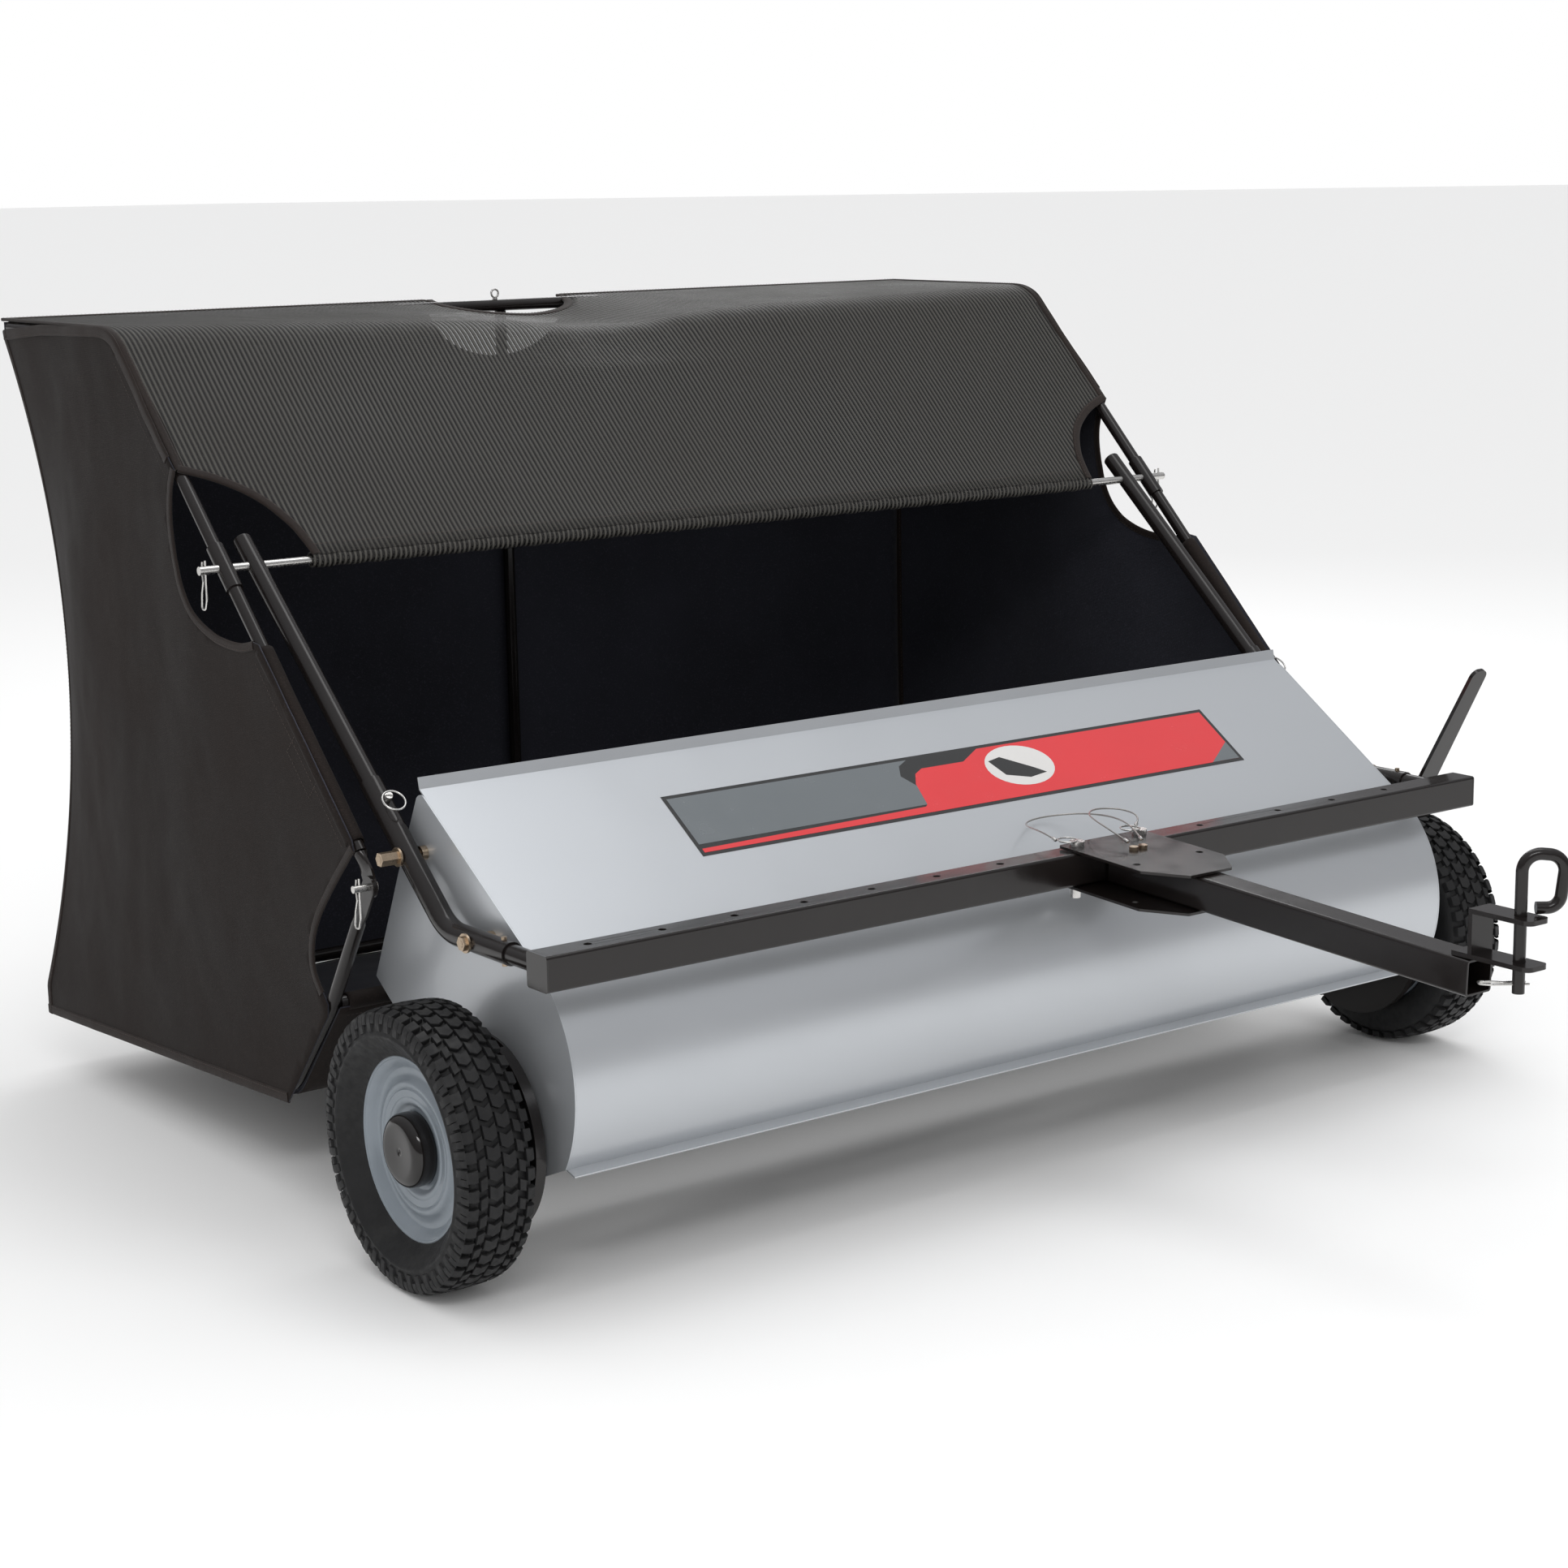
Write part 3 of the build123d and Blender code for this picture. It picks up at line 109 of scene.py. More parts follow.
def surface(name, colour, rough, metal=0.0, coat=0.0, sheen=0.0, mottle=(8, 0.08),
            grain=(900, 0.1, 0.0002), ripple=None, spread=0.06, spec=0.5, dust=None):
    """Painted, plated or moulded surface: mottled colour, uneven gloss, fine and broad bump."""
    mat, tree, bsdf = new_material(name)
    place = node(tree, "ShaderNodeTexCoord").outputs["Object"]
    broad = node(tree, "ShaderNodeTexNoise", {"Vector": place, "Scale": mottle[0],
                                              "Detail": 5.0}).outputs["Fac"]
    colours = mix_colour(tree, broad, tint(colour, 1 - mottle[1]), tint(colour, 1 + mottle[1]))
    if dust:
        up = node(tree, "ShaderNodeSeparateXYZ",
                  {0: node(tree, "ShaderNodeNewGeometry").outputs["Normal"]}).outputs["Z"]
        patch = node(tree, "ShaderNodeTexNoise", {"Vector": place, "Scale": dust[2],
                                                  "Detail": 8.0}).outputs["Fac"]
        lit = node(tree, "ShaderNodeMath", {0: span(tree, up, 0.0, 1.0, (0.1, 1.0)),
                                            1: span(tree, patch, 0.0, dust[1], (0.45, 0.75))},
                   operation="MULTIPLY").outputs[0]
        colours = mix_colour(tree, lit, colours, tint(dust[0], 1))
    tree.links.new(colours, bsdf.inputs["Base Color"])
    fine = node(tree, "ShaderNodeTexNoise", {"Vector": place, "Scale": grain[0],
                                             "Detail": 3.0}).outputs["Fac"]
    streak = node(tree, "ShaderNodeTexNoise", {"Vector": place, "Scale": mottle[0] * 4.3,
                                               "Detail": 6.0}).outputs["Fac"]
    tree.links.new(span(tree, streak, max(0.02, rough - spread), rough + spread),
                   bsdf.inputs["Roughness"])
    bump = node(tree, "ShaderNodeBump", {"Height": fine, "Strength": grain[1],
                                         "Distance": grain[2]})
    if ripple:
        wavy = node(tree, "ShaderNodeTexNoise", {"Vector": place, "Scale": ripple[0],
                                                 "Detail": 1.0}).outputs["Fac"]
        wide = node(tree, "ShaderNodeBump", {"Height": wavy, "Strength": ripple[1],
                                             "Distance": ripple[2]})
        tree.links.new(wide.outputs[0], bump.inputs["Normal"])
    tree.links.new(bump.outputs[0], bsdf.inputs["Normal"])
    bsdf.inputs["Metallic"].default_value = metal
    bsdf.inputs["Specular IOR Level"].default_value = spec
    bsdf.inputs["Coat Weight"].default_value = coat
    bsdf.inputs["Coat Roughness"].default_value = 0.08
    if sheen:
        bsdf.inputs["Sheen Weight"].default_value = sheen
    return mat


def waves(tree, uv, direction, pitch, warp=0.0):
    made = node(tree, "ShaderNodeTexWave", {"Vector": uv, "Scale": 0.314159 / pitch,
                                            "Distortion": warp, "Detail": 1.0},
                wave_type="BANDS", bands_direction=direction, wave_profile="SIN")
    return made.outputs["Fac"]


def cloth(name, colour, pitch=0.0016, depth=0.35, sheen=0.25, faded=1.5):
    """Coated plain weave: crossed threads, soft creases and slightly faded patches."""
    mat, tree, bsdf = new_material(name)
    coords = node(tree, "ShaderNodeTexCoord")
    uv, place = coords.outputs["UV"], coords.outputs["Object"]
    threads = node(tree, "ShaderNodeMath", {0: waves(tree, uv, "X", pitch, 0.3),
                                            1: waves(tree, uv, "Y", pitch, 0.3)},
                   operation="MULTIPLY").outputs[0]
    broad = node(tree, "ShaderNodeTexNoise", {"Vector": place, "Scale": 5.0,
                                              "Detail": 7.0}).outputs["Fac"]
    fleck = node(tree, "ShaderNodeTexNoise", {"Vector": place, "Scale": 420.0,
                                              "Detail": 4.0}).outputs["Fac"]
    worn = mix_colour(tree, span(tree, broad, 0.0, 1.0), tint(colour, 0.8), tint(colour, faded))
    lined = mix_colour(tree, span(tree, threads, 0.0, 0.5, (0.0, 1.0)), worn,
                       tint(colour, faded * 1.5))
    flecked = mix_colour(tree, span(tree, fleck, 0.0, 0.6, (0.55, 0.75)), lined,
                         tint(colour, faded * 2.2))
    tree.links.new(flecked, bsdf.inputs["Base Color"])
    tree.links.new(span(tree, broad, 0.62, 0.85), bsdf.inputs["Roughness"])
    crease = node(tree, "ShaderNodeTexNoise", {"Vector": place, "Scale": 38.0,
                                               "Detail": 5.0}).outputs["Fac"]
    low = node(tree, "ShaderNodeBump", {"Height": crease, "Strength": 0.25, "Distance": 0.002})
    high = node(tree, "ShaderNodeBump", {"Height": threads, "Strength": depth,
                                         "Distance": 0.0004, "Normal": low.outputs[0]})
    tree.links.new(high.outputs[0], bsdf.inputs["Normal"])
    bsdf.inputs["Sheen Weight"].default_value = sheen
    bsdf.inputs["Sheen Roughness"].default_value = 0.5
    bsdf.inputs["Specular IOR Level"].default_value = 0.16
    return mat


def ribbed_mesh(name):
    """Open black mesh: pale ribs down the slope, fine cross threads and see-through gaps."""
    mat, tree, bsdf = new_material(name)
    coords = node(tree, "ShaderNodeTexCoord")
    uv, place = coords.outputs["UV"], coords.outputs["Object"]
    rib = waves(tree, uv, "X", 0.0066, 0.25)
    cross = waves(tree, uv, "Y", 0.0022, 0.0)
    broad = node(tree, "ShaderNodeTexNoise", {"Vector": place, "Scale": 4.0,
                                              "Detail": 6.0}).outputs["Fac"]
    ridge = span(tree, rib, 0.0, 1.0, (0.45, 0.95))
    dark = mix_colour(tree, span(tree, broad, 0.0, 1.0), (0.006, 0.0055, 0.005, 1),
                      (0.016, 0.0145, 0.013, 1))
    pale = mix_colour(tree, cross, (0.02, 0.0185, 0.016, 1), (0.085, 0.08, 0.07, 1))
    tree.links.new(mix_colour(tree, ridge, dark, pale), bsdf.inputs["Base Color"])
    tree.links.new(span(tree, broad, 0.5, 0.7), bsdf.inputs["Roughness"])
    height = node(tree, "ShaderNodeMath", {0: rib, 1: span(tree, cross, 0.0, 0.25, (0.0, 1.0))},
                  operation="ADD").outputs[0]
    bump = node(tree, "ShaderNodeBump", {"Height": height, "Strength": 0.6, "Distance": 0.0008})
    tree.links.new(bump.outputs[0], bsdf.inputs["Normal"])
    tree.links.new(span(tree, rib, 0.45, 1.0, (0.15, 0.6)), bsdf.inputs["Alpha"])
    bsdf.inputs["Sheen Weight"].default_value = 0.04
    bsdf.inputs["Specular IOR Level"].default_value = 0.4
    return mat


SILVER = surface("silver_enamel", (0.50, 0.52, 0.545), 0.33, metal=0.55, coat=0.25,
                 mottle=(2.0, 0.03), grain=(1400, 0.05, 0.0001), ripple=(1.6, 0.25, 0.02),
                 spread=0.03)
BLACK = surface("black_powder_coat", (0.0095, 0.0075, 0.007), 0.22, coat=0.2, mottle=(9, 0.25),
                grain=(700, 0.10, 0.0002), spread=0.05, spec=0.35)
ZINC = surface("bright_zinc", (0.62, 0.61, 0.59), 0.28, metal=1.0, mottle=(60, 0.12),
               grain=(900, 0.2, 0.0002), spread=0.1)
YELLOW = surface("yellow_zinc", (0.42, 0.33, 0.24), 0.34, metal=1.0, mottle=(90, 0.25),
                 grain=(900, 0.2, 0.0002), spread=0.1)
RUBBER = surface("tyre_rubber", (0.009, 0.009, 0.0095), 0.58, mottle=(30, 0.3),
                 grain=(500, 0.35, 0.0004), spec=0.35, spread=0.12,
                 dust=((0.06, 0.058, 0.054), 0.25, 40))
RIM = surface("rim_enamel", (0.205, 0.235, 0.265), 0.38, metal=0.25, coat=0.25, mottle=(14, 0.1),
              grain=(800, 0.08, 0.0002), ripple=(12, 0.2, 0.003),
              dust=((0.4, 0.42, 0.43), 0.25, 25))
GLOSS = surface("gloss_cap", (0.008, 0.0065, 0.006), 0.12, coat=0.25, spec=0.4, mottle=(20, 0.2),
                grain=(600, 0.05, 0.0002), ripple=(30, 0.1, 0.001))
NYLON = surface("moulded_nylon", (0.016, 0.016, 0.017), 0.5, mottle=(40, 0.3),
                grain=(600, 0.3, 0.0003))
BRISTLE = surface("bristle_fibre", (0.02, 0.019, 0.018), 0.55, mottle=(50, 0.5),
                  grain=(900, 0.3, 0.0003), spread=0.1)
CABLE = surface("cable_steel", (0.36, 0.35, 0.33), 0.3, metal=0.9, coat=0.4, mottle=(300, 0.3),
                grain=(2500, 0.5, 0.0002))
BAG = cloth("bag_fabric", (0.0085, 0.0058, 0.0049), sheen=0.03)
LINING = cloth("bag_lining", (0.016, 0.0165, 0.023), sheen=0.1)
TAPE = cloth("binding_tape", (0.013, 0.0085, 0.007), pitch=0.0011, depth=0.5, sheen=0.08, faded=1.3)
THREAD = cloth("stitch_thread", (0.04, 0.03, 0.026), pitch=0.0006, sheen=0.1, faded=1.4)
MESH = ribbed_mesh("rib_mesh")
LABEL_BLACK = surface("label_black", (0.008, 0.008, 0.008), 0.2, coat=0.5, mottle=(30, 0.2))
LABEL_GREY = surface("label_grey", (0.115, 0.13, 0.14), 0.22, coat=0.5, mottle=(10, 0.06))
LABEL_RED = surface("label_red", (0.62, 0.022, 0.028), 0.22, coat=0.5, mottle=(10, 0.06))
LABEL_PALE = surface("label_pale", (0.62, 0.61, 0.60), 0.22, coat=0.5, mottle=(10, 0.05))


# ------------------------------------------------------------------ mesh tools

def make_object(name, verts, faces, mat, body, slot=None, uvs=None, smooth=True):
    mesh = bpy.data.meshes.new(name)
    mesh.from_pydata([tuple(v) for v in verts], [], faces)
    mesh.update()
    if uvs is not None:
        layer = mesh.uv_layers.new(name="UVMap")
        for loop in mesh.loops:
            layer.data[loop.index].uv = uvs[loop.vertex_index]
    for polygon in mesh.polygons:
        polygon.use_smooth = smooth
    for entry in mat if isinstance(mat, list) else [mat]:
        mesh.materials.append(entry)
    made = bpy.data.objects.new(name, mesh)
    bpy.context.scene.collection.objects.link(made)
    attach(made, body)
    return made


def outward(obj):
    """Turns the faces of a closed mesh outward."""
    shape = bmesh.new()
    shape.from_mesh(obj.data)
    bmesh.ops.recalc_face_normals(shape, faces=shape.faces)
    shape.to_mesh(obj.data)
    shape.free()
    return obj


def ring_faces(rows, count):
    """Quads between neighbouring closed rings of points."""
    faces = []
    for row in range(rows):
        for index in range(count):
            after = (index + 1) % count
            faces.append((row * count + index, row * count + after,
                          (row + 1) * count + after, (row + 1) * count + index))
    return faces


def split_edges(obj, degrees=35):
    """Keeps hard edges crisp under smooth shading."""
    cut = obj.modifiers.new("crisp", "EDGE_SPLIT")
    cut.split_angle = math.radians(degrees)
    return obj


def thicken(obj, thickness, offset=0.0):
    solid = obj.modifiers.new("thickness", "SOLIDIFY")
    solid.thickness = thickness
    solid.offset = offset
    return obj


def lathe(profile, centre, sign, steps=96):
    """Surface of revolution about the axle: profile is (x, r) in mm from the middle plane."""
    verts, faces = [], []
    count = len(profile)
    for step in range(steps):
        turn = 2 * math.pi * step / steps
        for x, r in profile:
            verts.append(Vector((sign * x * MM, centre[0] + r * MM * math.cos(turn),
                                 centre[1] + r * MM * math.sin(turn))))
    for step in range(steps):
        after = (step + 1) % steps
        for index in range(count - 1):
            faces.append((step * count + index, step * count + index + 1,
                          after * count + index + 1, after * count + index))
    return verts, faces


def curve_through(points, steps=8):
    """Catmull-Rom curve through 2D points."""
    dense = []
    for index in range(len(points) - 1):
        a = points[max(index - 1, 0)]
        b, c = points[index], points[index + 1]
        d = points[min(index + 2, len(points) - 1)]
        for step in range(steps):
            t = step / steps
            dense.append(tuple(
                0.5 * (2 * b[k] + (c[k] - a[k]) * t + (2 * a[k] - 5 * b[k] + 4 * c[k] - d[k]) * t**2
                       + (3 * b[k] - a[k] - 3 * c[k] + d[k]) * t**3) for k in (0, 1)))
    dense.append(points[-1])
    return dense


def rounded(points, radii, steps=12):
    """Polyline of 2D points with its inner corners rounded."""
    line = [points[0]]
    for before, corner, after, radius in zip(points, points[1:], points[2:], radii):
        a = (Vector(before) - Vector(corner)).normalized()
        b = (Vector(after) - Vector(corner)).normalized()
        half = a.angle(b) / 2
        run = radius / math.tan(half)
        centre = Vector(corner) + (a + b).normalized() * (radius / math.sin(half))
        start = Vector(corner) + a * run - centre
        end = Vector(corner) + b * run - centre
        for step in range(steps + 1):
            t = step / steps
            turn = start.angle(end)
            spot = (start * math.sin((1 - t) * turn) + end * math.sin(t * turn)) / math.sin(turn)
            line.append(tuple(centre + spot))
    line.append(points[-1])
    return line


def run_lengths(line):
    total = [0.0]
    for a, b in zip(line, line[1:]):
        total.append(total[-1] + math.dist(a, b))
    return total


class Track:
    """A 2D line read by distance along it."""

    def __init__(self, line):
        self.line = line
        self.runs = run_lengths(line)
        self.length = self.runs[-1]

    def at(self, run):
        """Point and left-hand normal at a distance."""
        run = min(max(run, 0.0), self.length - 1e-6)
        low = max(0, int(np.searchsorted(self.runs, run, side="right")) - 1)
        low = min(low, len(self.line) - 2)
        a, b = self.line[low], self.line[low + 1]
        step = self.runs[low + 1] - self.runs[low]
        t = (run - self.runs[low]) / step
        across = (-(b[1] - a[1]) / step, (b[0] - a[0]) / step)
        return (a[0] + (b[0] - a[0]) * t, a[1] + (b[1] - a[1]) * t), across


def split_ring(outline, cell):
    ring = []
    for a, b in zip(outline, outline[1:] + outline[:1]):
        parts = max(1, round(math.dist(a, b) / cell))
        for step in range(parts):
            t = step / parts
            ring.append((a[0] + (b[0] - a[0]) * t, a[1] + (b[1] - a[1]) * t))
    return ring


def cut_cloth(outline, cell):
    """Triangles over a 2D outline in mm, with evenly spaced points inside."""
    ring = split_ring(outline, cell)
    edge = np.array(ring)
    low, high = edge.min(0), edge.max(0)
    spots = []
    row, v = 0, low[1] + cell / 2
    while v < high[1]:
        u = low[0] + (cell / 2 if row % 2 else cell)
        while u < high[0]:
            spots.append((u, v))
            u += cell
        v += cell * 0.866
        row += 1
    spots = np.array(spots)
    inside = np.zeros(len(spots), bool)
    near = np.full(len(spots), 1e9)
    for a, b in zip(edge, np.roll(edge, -1, axis=0)):
        crosses = (a[1] > spots[:, 1]) != (b[1] > spots[:, 1])
        if abs(b[1] - a[1]) > 1e-12:
            reach = a[0] + (spots[:, 1] - a[1]) * (b[0] - a[0]) / (b[1] - a[1])
            inside ^= crosses & (spots[:, 0] < reach)
        run = b - a
        t = np.clip(((spots - a) @ run) / max(run @ run, 1e-12), 0, 1)
        near = np.minimum(near, np.linalg.norm(spots - (a + t[:, None] * run), axis=1))
    kept = spots[inside & (near > 0.55 * cell)]
    points = [Vector(p) for p in ring] + [Vector(p) for p in kept]
    loop = [(i, (i + 1) % len(ring)) for i in range(len(ring))]
    made = delaunay_2d_cdt(points, loop, [list(range(len(ring)))], 1, 1e-5)
    return [tuple(v) for v in made[0]], [tuple(f) for f in made[2]]


def cloth_panel(name, outline, place, cell, mat, slot, node_name, thickness=1.6, lining=None,
                inner_back=True):
    """One cut sheet of cloth placed in space, with its own thread directions and lining."""
    flat, faces = cut_cloth(outline, cell)
    verts = [place(u, v) for u, v in flat]
    panel = make_object(name, verts, faces, [mat, lining] if lining else mat, "hopper", slot,
                        uvs=[(u * MM, v * MM) for u, v in flat])
    solid = thicken(panel, thickness * MM).modifiers["thickness"]
    if lining and inner_back:
        solid.material_offset = 1
    elif lining:
        panel.data.polygons.foreach_set("material_index", [1] * len(panel.data.polygons))
        solid.material_offset = -1
    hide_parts(node_name)
    return panel


def surface_frame(place, u, v):
    """Point, and the space directions of u, v and the normal."""
    here = place(u, v)
    along_u = (place(u + 1, v) - here) * 1000
    along_v = (place(u, v + 1) - here) * 1000
    return here, along_u, along_v, along_u.cross(along_v).normalized()


def binding(name, edge, place, inward, width=9.0, lift=1.9, spacing=6.0):
    """Tape folded over a cloth edge, with a row of stitches on each face."""
    track = Track(edge)
    count = max(2, int(track.length / spacing))
    section = [(-1.2, 0.0), (-0.4, 1.3), (1.5, lift), (width - 1.0, lift), (width, lift - 0.9),
               (width, -lift + 0.9), (width - 1.0, -lift), (1.5, -lift), (-0.4, -1.3)]
    verts, uvs, sewn = [], [], []
    for step in range(count + 1):
        run = track.length * step / count
        (u, v), (nu, nv) = track.at(run)
        nu, nv = nu * inward, nv * inward
        for w, n in section:
            here, _, _, normal = surface_frame(place, u + nu * w, v + nv * w)
            verts.append(here + normal * n * MM)
            uvs.append((run * MM, (w + n) * MM))
        sewn.append((u + nu * (width - 2.2), v + nv * (width - 2.2)))
    ring = len(section)
    faces = ring_faces(count, ring)
    faces.append(tuple(range(ring)))
    faces.append(tuple(count * ring + index for index in reversed(range(ring))))
    tape = outward(make_object(name, verts, faces, TAPE, "hopper", "bag_fabric", uvs=uvs))
    split_edges(tape, 60)
    return [tape, stitches(name + "_stitch", sewn, place, lift + 0.25)]


def stitches(name, line, place, lift, both=True, length=3.6, pitch=5.2):
    """Row of short raised threads along a 2D line on a cloth surface."""
    track = Track(line)
    verts, faces = [], []
    for step in range(int(track.length / pitch)):
        (u, v), (nu, nv) = track.at((step + 0.5) * pitch)
        du, dv = nv, -nu
        here, along_u, along_v, normal = surface_frame(place, u, v)
        ahead = (along_u * du + along_v * dv).normalized()
        across = normal.cross(ahead)
        for face in (1, -1) if both else (1,):
            base = len(verts)
            for t, w, h in ((-0.5, 0, 0.1), (-0.25, 0.45, 0.25), (0.25, 0.45, 0.25), (0.5, 0, 0.1),
                            (0.25, -0.45, 0.25), (-0.25, -0.45, 0.25), (0, 0, 0.55)):
                verts.append(here + ahead * t * length * MM + across * w * MM
                             + normal * face * (lift + h) * MM)
            for index in range(6):
                faces.append((base + index, base + (index + 1) % 6, base + 6))
    return make_object(name, verts, faces, THREAD, "hopper", "bag_fabric")


def tube_mesh(points, radius, sides=12, wobble=0.0, seed=0.0, capped=True):
    """Round tube along space points, optionally wrinkled like a cloth sleeve."""
    verts = []
    for index, point in enumerate(points):
        ahead = (points[min(index + 1, len(points) - 1)] - points[max(index - 1, 0)]).normalized()
        side = ahead.cross(Vector((1, 0, 0)))
        side = side.normalized() if side.length > 1e-4 else Vector((0, 1, 0))
        up = ahead.cross(side)
        for corner in range(sides):
            turn = 2 * math.pi * corner / sides
            reach = radius
            if wobble:
                reach += wobble * noise.noise(Vector((math.cos(turn) * 1.4 + seed,
                                                      math.sin(turn) * 1.4, point.length * 22)))
            verts.append(point + (side * math.cos(turn) + up * math.sin(turn)) * reach * MM)
    faces = ring_faces(len(points) - 1, sides)
    if capped:
        last = (len(points) - 1) * sides
        faces.append(tuple(range(sides)))
        faces.append(tuple(last + corner for corner in reversed(range(sides))))
    return verts, faces


# ------------------------------------------------------------------ camera, floor and light

CAMERA_AT = (-2244.5, -2682.2, 1151.4)
FOCAL_PX, CENTRE_PX, IMAGE = 3777.3, (1022.1, 985.1), 1932.0
YAW, PITCH, ROLL = math.radians(37.3), math.radians(-11.8), math.radians(-0.8)
forward = Vector((math.sin(YAW) * math.cos(PITCH), math.cos(YAW) * math.cos(PITCH),
                  math.sin(PITCH)))
level = Vector((math.cos(YAW), -math.sin(YAW), 0))
upright = level.cross(forward)
right = level * math.cos(ROLL) + upright * math.sin(ROLL)
above = upright * math.cos(ROLL) - level * math.sin(ROLL)
camera = bpy.data.objects.new("camera", bpy.data.cameras.new("camera"))
bpy.context.scene.collection.objects.link(camera)
camera.matrix_world = Matrix.Translation(at(*CAMERA_AT)) @ Matrix(
    (right, above, -forward)).transposed().to_4x4()
camera.data.sensor_width = 36
camera.data.lens = FOCAL_PX / IMAGE * 36
camera.data.shift_x = (IMAGE / 2 - CENTRE_PX[0]) / IMAGE
camera.data.shift_y = (CENTRE_PX[1] - IMAGE / 2) / IMAGE
camera.data.clip_end = 100
bpy.context.scene.camera = camera

floor_mat, _, floor_bsdf = new_material("studio_floor")
floor_bsdf.inputs["Base Color"].default_value = (0.9, 0.9, 0.9, 1)
floor_bsdf.inputs["Roughness"].default_value = 0.7
floor_mesh = bpy.data.meshes.new("floor")
floor_mesh.from_pydata([(-90, -90, 0), (90, -90, 0), (90, 90, 0), (-90, 90, 0)], [],
                       [(0, 1, 2, 3)])
floor_mesh.materials.append(floor_mat)
floor = bpy.data.objects.new("floor", floor_mesh)
floor.location.z = -0.0005
bpy.context.scene.collection.objects.link(floor)

world = bpy.data.worlds.new("studio")
world.use_nodes = True
sky = world.node_tree
height = node(sky, "ShaderNodeSeparateXYZ",
              {0: node(sky, "ShaderNodeTexCoord").outputs["Generated"]}).outputs["Z"]
reflected = mix_colour(sky, span(sky, height, 0.0, 1.0, (0.0, 0.9)), (0.16, 0.155, 0.16, 1),
                       (0.62, 0.63, 0.65, 1))
seen = mix_colour(sky, node(sky, "ShaderNodeLightPath").outputs["Is Glossy Ray"],
                  (1, 1, 1, 1), reflected)
sky.links.new(seen, sky.nodes["Background"].inputs["Color"])
bpy.context.scene.world = world
bpy.context.scene.view_settings.view_transform = "Standard"


def area_light(name, spot, target, size, power):
    light = bpy.data.lights.new(name, "AREA")
    light.shape = "RECTANGLE"
    light.size, light.size_y = size
    light.energy = power
    made = bpy.data.objects.new(name, light)
    made.location = spot
    made.rotation_mode = "QUATERNION"
    made.rotation_quaternion = (Vector(target) - Vector(spot)).to_track_quat("-Z", "Y")
    bpy.context.scene.collection.objects.link(made)


area_light("key", (-2.5, -3.5, 3.6), (0, 0, 0.4), (2.4, 0.8), 45)
area_light("top", (0.5, 0.2, 3.8), (0, 0, 0.5), (3.0, 1.2), 25)
area_light("back", (2.5, 3.2, 2.6), (0, 0.2, 0.4), (2.0, 1.0), 22)

# ------------------------------------------------------------------ lanyards

LANYARD_LEFT = [(92, -197, 392), (108, -170, 395), (126, -132, 397), (136, -94, 396),
                (130, -58, 394), (108, -38, 392), (80, -32, 391), (54, -42, 391),
                (34, -66, 393), (22, -96, 396), (14, -124, 396), (12, -141, 393)]
LANYARD_RIGHT = [(71, -197, 392), (72, -168, 400), (80, -134, 404), (96, -104, 404),
                 (117, -84, 403), (138, -78, 402), (156, -90, 401), (160, -112, 399),
                 (150, -132, 396), (134, -143, 393)]
CABLE_R = 1.0
FERRULE_SIDES = 14


def lanyard(points, name):
    """Thin steel lanyard on its smooth line, with a pressed ferrule at each end."""
    curve = bpy.data.curves.new(name, "CURVE")
    curve.dimensions = "3D"
    spline = curve.splines.new("NURBS")
    spline.points.add(len(points) - 1)
    for control, point in zip(spline.points, points):
        control.co = (*at(*point), 1)
    spline.order_u = 3
    spline.use_endpoint_u = True
    spline.resolution_u = 12
    curve.bevel_depth = CABLE_R * MM
    curve.bevel_resolution = 3
    curve.use_fill_caps = True
    curve.materials.append(CABLE)
    made = bpy.data.objects.new(name + "_cable", curve)
    bpy.context.scene.collection.objects.link(made)
    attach(made, "chassis")
    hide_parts(name)
    for which, (end, after) in enumerate(((points[0], points[1]), (points[-1], points[-2]))):
        start = at(*end)
        run = (at(*after) - start).normalized()
        line = [start + run * t * MM for t in (-1.5, -1.2, -0.5, 5.5, 6.2, 6.5)]
        verts = []
        reach = (0.9, 1.7, 2.1, 2.1, 1.7, 0.9)
        whole, faces = tube_mesh(line, 1.0, FERRULE_SIDES)
        for index, vert in enumerate(whole):
            centre = line[index // FERRULE_SIDES]
            verts.append(centre + (vert - centre) * reach[index // FERRULE_SIDES])
        ferrule = make_object(f"{name}_ferrule_{which}", verts, faces, ZINC, "chassis",
                              "zinc_plate")
        outward(ferrule)


lanyard(LANYARD_LEFT, "lanyard_left")
lanyard(LANYARD_RIGHT, "lanyard_right")

# ------------------------------------------------------------------ wheels

AXLE = (AXLE_Y, AXLE_Z)
TYRE_MIDDLE, TYRE_R = 733, 152.2
PITCHES = 46
CARCASS = [(704, 99.2), (696, 100), (692.5, 104), (691.4, 112), (691.3, 122), (691.8, 130),
           (693.5, 137), (697.5, 142.5), (704, 145.6), (716, 147.4), (733, 148.0), (750, 147.4),
           (762, 145.6), (768.5, 142.5), (771.8, 137), (772.8, 131), (773.4, 125.5), (774.2, 124.2),
           (774.3, 122.6), (772.5, 120.5), (768, 115), (762.5, 108.5), (758.5, 104.5), (756, 101.5),
           (754.6, 99.4), (754.3, 98.8), (748, 98.8)]


def crown(x):
    """Tread radius at a distance from the tyre's middle plane."""
    return TYRE_R - 1.0 * (abs(x) / 26) ** 2 - 2.2 * max(0.0, (abs(x) - 30) / 9) ** 2


